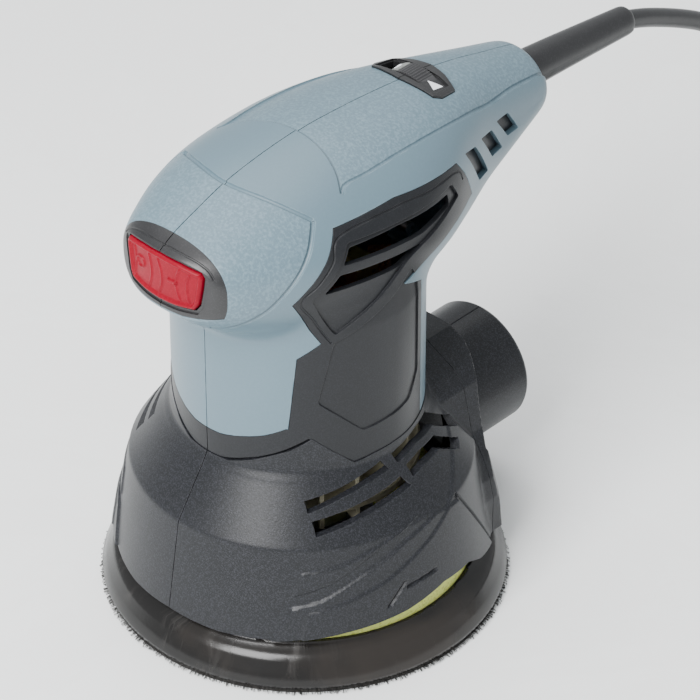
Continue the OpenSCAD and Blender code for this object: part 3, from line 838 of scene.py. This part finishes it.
def distance_to(outline, u, v):
    """Signed distance from points u, v to a flat outline, negative inside."""
    best = np.full(np.shape(u), 1e9)
    inside = np.zeros(np.shape(u), bool)
    n = len(outline)
    for k in range(n):
        (a, b), (c, d) = outline[k], outline[(k + 1) % n]
        run = (u - a) * (c - a) + (v - b) * (d - b)
        t = np.clip(run / ((c - a) ** 2 + (d - b) ** 2 + 1e-12), 0, 1)
        best = np.minimum(best, (u - a - t * (c - a)) ** 2 + (v - b - t * (d - b)) ** 2)
        if b != d:
            crosses = (b > v) != (d > v)
            inside ^= crosses & (u < (c - a) * (v - b) / (d - b) + a)
    return np.where(inside, -1, 1) * np.sqrt(best)


def ease(value, low, high):
    t = np.clip((value - low) / (high - low), 0, 1)
    return t * t * (3 - 2 * t)


# ---------- head and grip ----------

# Sections of the head: y, half width, top, bottom, height of the widest line, squareness
HEAD = [
    (-59, 13, 143, 128, 135.2, 2.5), (-51, 20.5, 147.8, 120, 134.8, 2.4),
    (-42, 26, 151.3, 113.4, 134.2, 2.3), (-30, 31.5, 155.2, 106.5, 133.5, 2.2),
    (-15, 36.3, 157.8, 101, 132.8, 2.05), (2, 38, 159.2, 99, 132.5, 2), (18, 36.8, 158.9, 99.5, 132.6, 2.1),
    (34, 32, 157.8, 101.5, 133, 2.25), (50, 25, 156, 104, 133.2, 2.4), (65, 19.5, 153.4, 108.5, 133.5, 2.3),
    (80, 16.4, 149.7, 114.6, 133.8, 2.15), (92, 14.2, 146.7, 120.4, 134, 2), (97, 12.2, 144.8, 123, 134, 2),
]
HEAD_FINE = along(HEAD, 1.0)
# Grip: height and radius
GRIP = [(60, 39.5), (113, 39.5), (121, 38.5), (129, 36), (137, 30.5), (145, 0), (149, -12)]
# Outlines seen from the side, as y, z
PANEL = [
    (-17, 146.8), (6, 147), (20, 145.4), (35.5, 143.4), (39, 138.5), (46, 126.5), (4, 121), (14.5, 115.8),
    (14.5, 72), (14.5, 60), (-30.5, 60), (-30.5, 72), (-28.2, 105.2), (-23, 110.4), (-27.2, 118.6),
    (-33.4, 128.5), (-27.5, 134.5), (-22.5, 140),
]
BAND = [
    (-29, 79.9), (-30.5, 79.9), (-34, 77), (-36.9, 75.2), (-39, 73.6), (-48, 73.3), (-48, 55), (-29, 55),
]
COLLAR = [
    (-60, 65), (-39, 65), (-36.5, 67.6), (-30.4, 72.5), (-26, 76.4), (-14.9, 65.8), (-8.9, 67), (0, 68),
    (60, 68), (60, 40), (-60, 40),
]
FRAME_OUTLINE = [
    (-15.1, 142.6), (1.7, 141.6), (14.9, 140.9), (30.3, 140.1), (33.6, 134.4), (7.5, 129.2), (-19.7, 112.8),
    (-27.8, 128.1), (-20.9, 134.9),
]
SLOTS = [
    [(-14.5, 140.8), (4, 140.2), (28, 138), (28.5, 134), (13, 133.4), (-17.5, 136.4)],
    [(-18.8, 133.8), (13, 130.4), (3.5, 127.4), (-23.5, 128.6)],
]
INLAY = [(-24, 89), (-20, 110), (8, 124.5), (11.8, 117), (11.8, 86), (6.5, 79), (-12, 76.5)]
TAIL_VENTS = [
    [(42.5, 142.2), (49, 140.2), (58.6, 126.2), (52.4, 127.4)],
    [(54.6, 139.8), (61, 138.4), (67.6, 129), (62, 129.6)],
    [(65.8, 139), (71.4, 138.4), (76.6, 131), (71.6, 131.4)],
]
NOSE = [(-1, 126), (8, 126.1), (16.2, 127.3), (30, 129), (30, 170), (-1, 170)]   # x, z
NOSE_BACK = -50.4
# Lines on the head
BROW = [(-0.5, -54.3, 146), (6, -54, 145.8), (11.5, -53.3, 145.2), (15.4, -52.5, 143.6), (17.4, -52, 141)]
FRONT_GROOVE = [
    (-6, -29.4, 155), (0, -30.1, 155.3), (6, -29.4, 155), (13.1, -27.4, 154.3), (19.5, -24.6, 152.2),
    (25.8, -21, 149.5),
]
FRONT_TURN = [
    (25.8, -21, 149.5), (27.4, -23.2, 147), (29.7, -26.6, 143.7), (30.6, -30, 140), (30.1, -33.4, 136.2),
    (28.4, -37.2, 131.8), (25.8, -40.9, 127.9), (21.8, -44.6, 124.9), (17.3, -47.7, 122.7), (13, -50, 121),
]
REAR_ARC = [(-8, -0.9), (0, -0.3), (8, -0.9), (15, -2.5), (20.5, -4.9), (24.9, -8)]      # x, y
REAR_EDGE = [
    (23.2, -5), (23.7, 4), (23.5, 14.9), (22.8, 28), (21.1, 42.6), (17.8, 59), (14, 76.7), (11.7, 92.8),
]
REAR_DEPTH = 0.65
FRAME_DEPTH = 0.9
INLAY_DEPTH = 0.45
FILL_DEPTH = 2.0       # how deep the dark fill lies in the tail's vents
GAP = 0.15             # gap between pieces of different colours

# Window of the dial, as x, y
WINDOW = [
    (-13.6, 46.6), (-12.3, 44), (-6, 43), (0, 42.5), (6, 43), (12.3, 44), (13.6, 46.6), (12.6, 53.2),
    (6.5, 55.6), (0, 56.9), (-6.5, 55.6), (-12.6, 53.2),
]


def grip_round(x, y):
    """Distance from the grip's axis, scaled so that its section is narrower at the quarters."""
    power = np.where(y > 0, 1.73, 1.87)
    return (np.abs(x) ** power + np.abs(y) ** power) ** (1 / power)


def body_field(x, y, z):
    """Distance to the outside of the head and grip, negative inside."""
    half, top, bottom, middle, power = (np.interp(y, HEAD_FINE[:, 0], column) for column in HEAD_FINE.T[1:])
    up = z - middle
    tall = np.where(up > 0, top - middle, middle - bottom)
    f = ((np.abs(x) / half) ** power + (np.abs(up) / tall) ** power + 1e-9) ** (1 / power)
    barrel = (np.hypot(x, up) + 1e-3) * (1 - 1 / f)
    nose = np.hypot(x, np.minimum(y - NOSE_C, 0)) - NOSE_R
    head = round_max(round_max(barrel, nose, 1.0), y - TAIL_Y, 4.0)
    grip = grip_round(x, y) - np.interp(z, *zip(*GRIP))
    return round_min(head, grip, 4.0)


def body_solid(inset, step=0.8):
    return field_solid("body", body_field, (-42, -60, 56), (42, 100, 162), step, -inset)


def on_body(path, step=1.5, level=0.0):
    """A curve laid on the head, level outside it."""
    points = along(path, step)
    for _ in range(6):
        points = settle(points, body_field, level)
    return points


def down_on_body(path, step=1.2, level=0.0):
    """A curve given in plan, dropped straight down onto the head."""
    x, y = along(path, step).T
    low, high = np.full(len(x), 136.0), np.full(len(x), 166.0)
    for _ in range(30):
        z = (low + high) / 2
        inside = body_field(x, y, z) < level
        low, high = np.where(inside, z, low), np.where(inside, high, z)
    return np.stack([x, y, low], 1)


def across_on_body(path, step=1.2, level=0.0):
    """A curve given from the side, as y, z, pushed straight in onto the head or grip."""
    y, z = along(path, step).T
    low, high = np.full(len(y), 2.0), np.full(len(y), 45.0)
    for _ in range(30):
        x = (low + high) / 2
        inside = body_field(x, y, z) < level
        low, high = np.where(inside, x, low), np.where(inside, high, x)
    return np.stack([low, y, z], 1)


def lowered(thing, zone, inner):
    """Takes away what lies in zone outside the inner solid."""
    return cut(thing, boolean(zone, inner, "DIFFERENCE", True))


def sink(thing, zone, depth):
    """Lowers the head's surface by depth where it lies in zone."""
    inner = body_solid(depth)
    lowered(thing, zone, inner)
    drop(inner)


def groove(thing, path, radius, proud):
    return cut(thing, tube("groove", on_body(path, 1.2, proud), radius, 10))


def pebble_and_highlight_mask(thing):
    """Marks where the shell is pebbled and painted lighter as a highlight: the nose ahead of its groove,
    and the top behind the arc.
    """
    x, y, z = points_of(thing).T
    x = np.abs(x)
    front_top = np.interp(x, [0, 13.1, 25.8, 40], [-30.1, -27.4, -21, -12])
    heights = [118, 122.7, 127.9, 136.2, 143.7, 149.5, 160]
    front_side = np.interp(z, heights, [-57, -47.7, -40.9, -33.4, -26.6, -21, -8])
    front = ease(np.minimum(front_top, front_side) - y, 0, 1.2)
    edge = np.interp(y, [p[1] for p in REAR_EDGE], [p[0] for p in REAR_EDGE])
    rear = ease(y - np.interp(x, *zip(*REAR_ARC)), 0, 1.2) * ease(edge - x, -0.3, 0.9) * (z > 136)
    layer = thing.data.attributes.new("pebble_and_highlight", "FLOAT", "POINT")
    layer.data.foreach_set("value", np.maximum(front, rear).astype(np.float32))
    return thing


def make_body():
    """The right half of each moulding of the head and grip, and its mirror image."""
    whole = body_solid(0)
    inner = body_solid(WALL)
    half = common(copy_of(whole), block((SEAM, -70, 50), (60, 110, 170)))

    # grey housing
    shell = boolean(copy_of(half), inner, "DIFFERENCE", True)
    cut(shell, side_prism(grown(PANEL, GAP), 8, 60), side_prism(grown(BAND, GAP), -1, 60))
    cut(shell, side_prism(grown(COLLAR, GAP), -1, 60))
    cut(shell, front_prism(grown(NOSE, GAP), -70, NOSE_BACK))
    cut(shell, top_prism(grown(WINDOW, GAP), 146, 170))
    for vent in TAIL_VENTS:
        cut(shell, side_prism(rounded(grown(vent, 0.45), 0.8, 3), 2, 60))
    rear_zone = [*REAR_ARC[1:-1], (24.2, -7.3), *REAR_EDGE, (10.8, 99), (-0.5, 99)]
    sink(shell, top_prism(rear_zone, 136, 170), REAR_DEPTH)
    groove(shell, FRONT_GROOVE, 0.8, 0.0)
    groove(shell, FRONT_TURN, 0.8, 0.0)
    cut(shell, tube("groove", down_on_body(REAR_ARC, 1.2, -0.15), 0.7, 10))
    cut(shell, tube("groove", down_on_body([(24.9, -8), *REAR_EDGE, (11, 97.5)], 1.5, -0.3), 0.7, 10))
    neck = [(-0.5, -50, 119), (8, -49.5, 118.7), (16, -46.6, 117.5), (22, -41.5, 115)]
    groove(shell, neck, 0.4, 0.25)
    # pebbled zones, which the grey finish also paints lighter as a highlight
    pebble_and_highlight_mask(shell)
    fill = common(body_solid(FILL_DEPTH), block((SEAM, 30, 100), (60, 110, 170)))
    boolean(fill, inner, "DIFFERENCE", True)
    blades = None
    for vent in TAIL_VENTS:
        blade = side_prism(rounded(grown(vent, 0.4), 0.8, 3), 2, 60)
        blades = join(blades, blade) if blades else blade
    common(fill, blades)
    finish_pair(fill, "vent_fill", "black_shell", "housing")
    finish_pair(shell, "shell", "grey_shell", "housing")

    # side panel
    zone = join(side_prism(PANEL, 8, 60), side_prism(BAND, -1, 60))
    panel = common(boolean(copy_of(half), inner, "DIFFERENCE", True), zone)
    cut(panel, side_prism(grown(COLLAR, GAP), -1, 60))
    sink(panel, side_prism(rounded(FRAME_OUTLINE, 0.8, 2), 4, 60), FRAME_DEPTH)
    for slot in SLOTS:
        cut(panel, side_prism(rounded(slot, 0.8, 3), 4, 60))
    sink(panel, side_prism(rounded(INLAY, 1.2, 3), 4, 60), INLAY_DEPTH)
    border = grown(PANEL, -1.9)
    border = [border[k] for k in (4, 3, 2, 1, 0, 17, 16, 15, 14, 13)]
    cut(panel, tube("groove", across_on_body(border, 1.2, 0.05), 0.42, 8))
    finish_pair(panel, "panel", "black_shell", "side_panel")

    # surround of the switch, with a step round the cap
    bezel = boolean(common(copy_of(half), front_prism(NOSE, -70, NOSE_BACK)), inner, "DIFFERENCE", True)
    cut(bezel, front_prism(grown(CAP, 0.35), -70, -40))
    groove(bezel, BROW, 0.4, 0.1)
    step = lathe("step", [(38, 120), (NOSE_R - 0.5, 120), (NOSE_R - 0.5, 150), (38, 150)], 256, (0, NOSE_C))
    lowered(bezel, front_prism(grown(CAP, 1.5), -70, -50), step)
    drop(step)
    finish_pair(bezel, "switch_surround", "black_trim", "nose_bezel")

    # surround of the dial
    rim = common(boolean(copy_of(half), inner, "DIFFERENCE", True), top_prism(WINDOW, 140, 170))
    rims = {"right": rim, "left": mirrored(rim, "left")}
    ledge = body_solid(0.7)
    for side, thing in rims.items():
        cut(thing, block((-11.4, 45.4, 130), (4.2, 52.6, 170)))
        sunk = [(-12, 44.9), (10.6, 44.9), (11.6, 46), (10.8, 52.6), (6, 53.4), (-12, 53.2)]
        lowered(thing, top_prism(sunk, 140, 170), ledge)
    mark = common(ledge, top_prism([(5.4, 49.1), (9.8, 46.9), (9.8, 51.1)], 140, 170))
    keep = body_solid(0.9)
    boolean(mark, keep, "DIFFERENCE")
    lift = points_of(mark)
    lift[:, 2] += 0.06
    set_points(mark, lift)
    finish_piece(mark, "speed_wedge", "housing", FINISH["print_white"], (), 30)
    for side, thing in rims.items():
        finish_piece(thing, f"{side}_dial_surround", "housing", FINISH["black_trim"],
                     (f"{side}_dial_bezel",), 28)
    drop(whole, inner, half)


# ---------- switch cap ----------

CAP = [
    (-14.9, 141), (-14.1, 142.5), (-7, 143.7), (0, 144.1), (7, 143.7), (14.1, 142.5), (14.9, 141),
    (14.5, 137.5), (13.5, 131.6), (12.2, 129.6), (6, 128.8), (0, 128.6), (-6, 128.8), (-12.2, 129.6),
    (-13.5, 131.6), (-14.5, 137.5),
]


# Ridges on the cap: place at its middle, bow and slant
CAP_RIDGES = [(-12.2, 1.5, 0), (-5.4, 2.0, 0), (-1.4, 2.2, -0.05), (8.6, -2.6, 0), (11.6, -1.9, 0.05)]


def cap_field(x, y, z):
    flat = distance_to(CAP, x, z)
    dish = 0.85 * ease(-flat, 0.8, 1.8)
    bow = math.pi * (z - 129) / 15
    waves = sum(
        0.42 * np.exp(-(((x - a - b * np.sin(bow) - c * (z - 136)) / 0.36) ** 2))
        for a, b, c in CAP_RIDGES
    ) * ease(-flat, 1.5, 2.4)
    ring = 0.5 * np.exp(-(((np.hypot(x + 8.3, z - 137.2) - 1.7) / 0.38) ** 2))
    bar = 0.55 * ease(-np.maximum(np.abs(x - 4.8) - 1.6, np.abs(z - 136.6) - 0.45), -0.3, 0.1)
    front = np.hypot(x, y - NOSE_C) - (CAP_R - dish + waves + ring + bar)
    return round_max(round_max(flat + 0.1, front, 1.1), y + 51.2, 0.6)


def make_cap():
    cap = field_solid("cap", cap_field, (-15.6, -58, 128), (15.6, -50.5, 144.8), 0.2)
    finish_piece(cap, "rocker_cap", "switch", FINISH["red_rubber"], ("switch_cap",), 50)


# ---------- speed dial ----------

DIAL_C = (0, 48.2, 145)
DIAL_R = 11.9


def on_wheel(angle, y, lift):
    """Point on the dial's rim: angle from the top towards +X, in degrees."""
    a = math.radians(angle)
    r = DIAL_R + lift
    return (r * math.sin(a), y, DIAL_C[2] + r * math.cos(a))


def wheel_patch(outline, lift0, lift1):
    """Thin plate on the rim, from an angle, y outline."""
    fine = []
    for (a, y), (b, w) in zip(outline, outline[1:] + outline[:1]):
        n = max(1, int(abs(b - a) / 4))
        fine += [(a + (b - a) * k / n, y + (w - y) * k / n) for k in range(n)]
    return slab(fine, on_wheel, lift0, lift1)


def make_dial():
    outline = []
    for k in range(360):
        ribbed = -16 <= (k + 180) % 360 - 180 <= 24
        low_by = 0.225 * (1 + math.cos(math.radians(72 * k))) if ribbed else 0.25
        x, _, z = on_wheel(k, 0, -low_by)
        outline.append((x, z))
    wheel = front_prism(outline, 46, 52)
    hub = turn_to_y(lathe("hub", [(0.01, 0), (2.6, 0), (2.6, 8), (0.01, 8)], 32), (0, 44.2, DIAL_C[2]))
    join(wheel, hub)
    finish_piece(wheel, "dial_wheel", "dial", FINISH["dial_plastic"], ("speed_dial",), 30)
    plate = wheel_patch([(-48, 46.3), (-19, 46.3), (-19, 51.7), (-48, 51.7)], -0.4, 0.02)
    finish_piece(plate, "dial_scale", "dial", FINISH["pale_scale"], (), 30)
    # figure 6: a ring and an arc, upright for a reader at the rear
    ring = [(-33.5 + 3.6 * math.cos(t), 49.9 + 0.75 * math.sin(t)) for t in np.linspace(0, 2 * math.pi, 17)]
    arc = [(-29.9, 49.9), (-30.3, 49.1), (-31.8, 48.3), (-34.2, 47.9)]
    marks = None
    for line in (ring, arc):
        stroke = tube("stroke", [on_wheel(a, y, 0.0) for a, y in line], 0.17, 6)
        marks = join(marks, stroke) if marks else stroke
    finish_piece(marks, "dial_marks", "dial", FINISH["print_white"], (), 30)


# ---------- skirt and dust duct ----------

CONE = [
    (8, 58.5), (44.8, 52.4), (45.8, 52.15), (46.8, 51.5), (60.5, 42.3), (62, 41.3), (65, 39.8), (90, 39.8),
]
# Half width of the block at the rear, and how far out its corners reach
BLOCK_HALF = [
    (5, 43.5), (26, 43.5), (32.6, 42), (38.2, 39.4), (45.7, 34.7), (54, 32.8), (61, 31), (66, 27),
    (71.6, 15.7),
]
BLOCK_R = [(13, 61.2), (23, 60.4), (31, 58.6), (41, 56.4), (53, 55), (72, 54)]
LOWER_EDGE = [
    (-90, 15.7), (-72, 15), (-54, 15.6), (-46, 16.5), (-32, 18.2), (-13, 20), (2, 22.6), (15, 21.5),
    (23, 17.3), (38, 12.8), (90, 13),
]
COLLAR_LINE = [
    (-90, 65), (-79, 65), (-67, 67.6), (-50, 72.5), (-41, 76.4), (-22, 65.8), (-13, 67), (0, 68), (90, 68),
]
# Raised plates on the skirt, as angle, z, and their heights
PLATES = [
    ([(-55.5, 15), (-49, 26.6), (-40, 28.9), (-25, 36.3), (-10, 42.4), (3, 45.5), (14.5, 44), (16.2, 44.3),
      (39, 10.5), (10, 8), (-50, 8)], 0.8),
    ([(-46.3, 15), (-44.5, 25), (-34, 27.6), (-19, 32), (0, 40), (40, 60), (60, 8), (-40, 8)], 0.5),
    ([(-46, 38.1), (-34, 39.8), (-19, 44.1), (-3, 47.9), (-20, 43), (-37, 34.2), (-49, 30.4)], 0.55),
]
ARROW = [
    [(-12.2, 27.2), (-0.8, 27.9), (-0.8, 28.8), (-12.2, 28.1)],
    [(-19.4, 23.4), (-13.2, 29.7), (-12.4, 29.4), (-18.4, 23.2)],
    [(14.6, 45.4), (15.4, 45.7), (39, 11.6), (38, 11)],
]
VENTS = [
    [(-45, 57.8), (-43.6, 54.8), (-30, 57.8), (-18, 59.8), (-7.4, 61), (-10.2, 63.9), (-20.9, 62),
     (-32.8, 59.8)],
    [(-2.4, 61.2), (-4.2, 64.4), (3, 65.4), (12.3, 66.4), (26, 66.2), (43.5, 56.4), (41.3, 53.8),
     (26.2, 61.8), (10.3, 62.6)],
    [(-42.3, 52.7), (-41, 48.9), (-25, 51.8), (-13.8, 53.5), (-0.8, 54.7), (-3.9, 58.1), (-23.6, 55.5)],
    [(0.6, 59.8), (1.4, 56.2), (9.2, 57), (20.7, 56.6), (31.1, 51.4), (35.6, 53.1), (22.6, 60.2),
     (9.9, 60.7)],
]


def skirt_radius(angle, z):
    """Outer radius of the skirt and duct, before its raised plates."""
    a = np.radians(np.where(angle > 90, 180 - angle, angle))
    neck = GRIP_R / grip_round(np.cos(a), np.sin(a)) + 0.2
    cone = np.interp(z, *zip(*CONE))
    cone = cone + (neck - cone) * ease(z, 62, 69)
    half = np.where(z > 71.6, 0, np.interp(z, *zip(*BLOCK_HALF)))
    rear = np.minimum(half / np.maximum(np.cos(a), 1e-3), 50 / np.maximum(np.sin(a), 1e-3))
    rear = np.where(a > 0.3, np.minimum(rear, np.interp(z, *zip(*BLOCK_R))), 0)
    return round_max(cone, rear, 1.2)


def raised(angle, z):
    """Height of the plates and the depth of the arrow."""
    wrap = 0.96      # millimetres to a degree
    extra = 0
    for outline, height in PLATES:
        flat = distance_to([(a * wrap, b) for a, b in outline], angle * wrap, z)
        extra = extra + height * ease(-flat, -0.42, 0.42)
    for outline in ARROW:
        flat = distance_to([(a * wrap, b) for a, b in outline], angle * wrap, z)
        extra = extra - 0.9 * ease(-flat, -0.35, 0.2)
    return extra


def skirt_shell(start, stop, columns, rows):
    """Closed shell between two angles, from the lower edge to the collar."""
    angle = np.linspace(start, stop, columns)
    folded = np.where(angle > 90, 180 - angle, angle)
    low = np.interp(folded, *zip(*LOWER_EDGE))
    high = np.interp(folded, *zip(*COLLAR_LINE))
    block_top = np.interp(39.7 * np.cos(np.radians(folded)), [15.7, 27, 31], [71.6, 66, 61])
    high = np.where(folded > 45, np.maximum(high, block_top), high)
    t = np.linspace(0, 1, rows)[:, None]
    z = low + (high - low) * t
    a = np.broadcast_to(angle, z.shape)
    outer = skirt_radius(a, z)
    inner = np.minimum(outer - SKIRT_WALL, skirt_radius(a, z + SKIRT_WALL) - 0.3)
    outer = outer + raised(np.where(a > 90, 180 - a, a), z)
    turn = np.radians(a)
    points = [np.stack([r * np.cos(turn), r * np.sin(turn), z], -1).reshape(-1, 3) for r in (outer, inner)]
    n = rows * columns
    faces = []
    for i in range(rows - 1):
        for k in range(columns - 1):
            q = i * columns + k
            faces.append((q, q + 1, q + columns + 1, q + columns))
            faces.append((n + q, n + q + columns, n + q + columns + 1, n + q + 1))
    for k in range(columns - 1):
        top = (rows - 1) * columns + k
        faces += [(k, n + k, n + k + 1, k + 1), (top, top + 1, n + top + 1, n + top)]
    for i in range(rows - 1):
        for side in (i * columns, i * columns + columns - 1):
            faces.append((side, side + columns, n + side + columns, n + side))
    return outward(add_mesh("skirt", np.vstack(points), faces))


def radial_prism(outline, near, far):
    fine = []
    for (a, y), (b, w) in zip(outline, outline[1:] + outline[:1]):
        n = max(1, int(abs(b - a) / 2.5))
        fine += [(a + (b - a) * k / n, y + (w - y) * k / n) for k in range(n)]

    def place(angle, height, r):
        a = math.radians(angle)
        return (r * math.cos(a), r * math.sin(a), height)

    return slab(fine, place, near, far)


def make_skirt():
    skirt = skirt_shell(-90.2, 72, 300, 120)
    common(skirt, block((SEAM, -80, 0), (90, DUCT_Y - 0.1, 100)))
    for vent in VENTS:
        cut(skirt, radial_prism(vent, 33, 70))
    finish_pair(skirt, "skirt_cover", "skirt_shell", "skirt", 24)


def make_duct():
    duct = common(skirt_shell(32, 148, 220, 120), block((-90, DUCT_Y + 0.1, 0), (90, 90, 100)))
    ring = [
        (PORT_BORE_R, 45), (PORT_R + 0.9, 45), (PORT_R + 0.9, 57.4), (PORT_R + 0.5, 58.1), (PORT_R, 58.4),
        (PORT_R, PORT_Y - 1.1), (PORT_R - 0.4, PORT_Y - 0.3), (PORT_R - 1.1, PORT_Y),
        (PORT_BORE_R + 0.7, PORT_Y), (PORT_BORE_R, PORT_Y - 0.6),
    ]
    hole = PORT_BORE_R + 0.5
    cut(duct, turn_to_y(lathe("bore", [(0.01, 30), (hole, 30), (hole, 75), (0.01, 75)]), (0, 0, PORT_Z)))
    port = turn_to_y(lathe("port", ring, 192), (0, 0, PORT_Z))
    crest = PORT_Z + PORT_R
    cut(port, tube("parting", [(0, 44, crest + 1.0), (0, 57.8, crest + 1.0)], 0.45, 8))
    cut(port, tube("parting", [(0, 57, crest + 0.1), (0, 84, crest + 0.1)], 0.4, 8))
    join(duct, port)
    finish_piece(duct, "dust_outlet", "housing", FINISH["skirt_shell"], ("dust_duct",), 24)


# ---------- sleeve, pad and hooks ----------

LIP_Z = 13.1           # top of the pad's lip as seen; the CAD lip stands higher
TAPE_R = 61.5          # radius of the tape under the pad
HOOK_ROOT_R = 61.6     # where the fringe of hooks starts
HOOKS = 1500


def make_sleeve():
    """Tapered sleeve of the cord, with a flat groove along each side and a rounded lip."""
    path = along([(0, 90, 134), (0, 97, 134), (0, 110, 133.3), (0, 125, 132.2), (0, 147.2, 130.5)], 0.8)
    y = path[:, 1]
    radius = np.interp(y, [90, 97, 99.5, 145.2, 146.4, 147.2], [6.6, 6.5, 6.3, 4.8, 4.6, 4.0])

    def groove_round(a):
        near_side = sum(math.exp(-(((math.cos(a) - c) / 0.22) ** 2)) for c in (-0.9, 0.9))
        return 1 - 0.05 * near_side * (math.sin(a) > -0.3)

    sleeve = tube("sleeve", path, radius, 48, groove_round)
    inner = tube("inner", along([(0, 143, 130.8), (0, 149, 130.3)], 1), CORD_D / 2 + 0.15, 24)
    cut(sleeve, inner)
    finish_piece(sleeve, "cord_sleeve", "housing", FINISH["sleeve_rubber"],
                 ("strain_relief",), 40)


def node_solid(name):
    """A free copy of a CAD node, with its split corners joined so that it can be cut."""
    thing = copy_of(frame["nodes"][name], name)
    thing.parent = None
    mesh = bmesh.new()
    mesh.from_mesh(thing.data)
    bmesh.ops.remove_doubles(mesh, verts=mesh.verts, dist=0.002 * MM)
    mesh.to_mesh(thing.data)
    mesh.free()
    return thing


def make_pad():
    """The CAD pad with its lip trimmed to the height seen, its tape, and a fringe of hooks round it."""
    rubber = node_solid("backing_pad")
    cut(rubber, lathe("above_lip", [(50, LIP_Z), (56, LIP_Z), (56, 16), (50, 16)], 192, (PAD_X, 0)))
    finish_piece(rubber, "pad_disc", "pad", FINISH["pad_rubber"], ("backing_pad",), 30)
    tape = node_solid("hook_layer")
    common(tape, lathe("rim", [(0.01, -1), (TAPE_R, -1), (TAPE_R, 3), (0.01, 3)], 192, (PAD_X, 0)))
    finish_piece(tape, "hook_tape", "pad", FINISH["hook_fabric"], ("hook_layer",), 30)
    points, faces = [], []
    for k in range(HOOKS):
        a = 2 * math.pi * (k + random.random()) / HOOKS
        lean = random.uniform(-0.006, 0.006)
        reach = random.choice((0.8, 1.2, 1.6, 2.0)) * random.uniform(0.7, 1)
        z0 = random.uniform(0.5, 1.8)
        drop_by = random.uniform(0.2, 0.9)
        radius = random.uniform(0.08, 0.16)
        arc = []
        for t in (0, 0.35, 0.7, 1):
            r = HOOK_ROOT_R + reach * math.sin(t * 2.2)
            z = max(0.17, z0 + 0.15 * math.sin(t * 3) - drop_by * t * t)
            b = a + lean * t
            arc.append((PAD_X + r * math.cos(b), r * math.sin(b), z, b))
        base = len(points)
        for x, y, z, b in arc:
            for m in range(3):
                c = 2 * math.pi * m / 3
                across, up = radius * math.cos(c), radius * math.sin(c)
                points.append((x - across * math.sin(b), y + across * math.cos(b), z + up))
        for i in range(3):
            for m in range(3):
                p, q = base + 3 * i + m, base + 3 * i + (m + 1) % 3
                faces.append((p, q, q + 3, p + 3))
        faces += [(base, base + 2, base + 1), (base + 9, base + 10, base + 11)]
    hooks = outward(add_mesh("hooks", points, faces))
    finish_piece(hooks, "hook_fibres", "pad", FINISH["hook_fibres"], (), 60)

# ---------- put together ----------


def paint_frame():
    """Gives every CAD node the finish of its material slot."""
    for part in frame["record"]["subparts"]:
        node = frame["nodes"][part["node"]]
        node.data.materials.clear()
        node.data.materials.append(FINISH[part["material_slot"]])
        smooth(node, 35)


random.seed(7)
make_camera()
make_studio()
paint_frame()
cord, cord_route, cord_length = make_cord()
plug = make_plug()
make_body()
make_cap()
make_dial()
make_skirt()
make_duct()
make_sleeve()
make_pad()
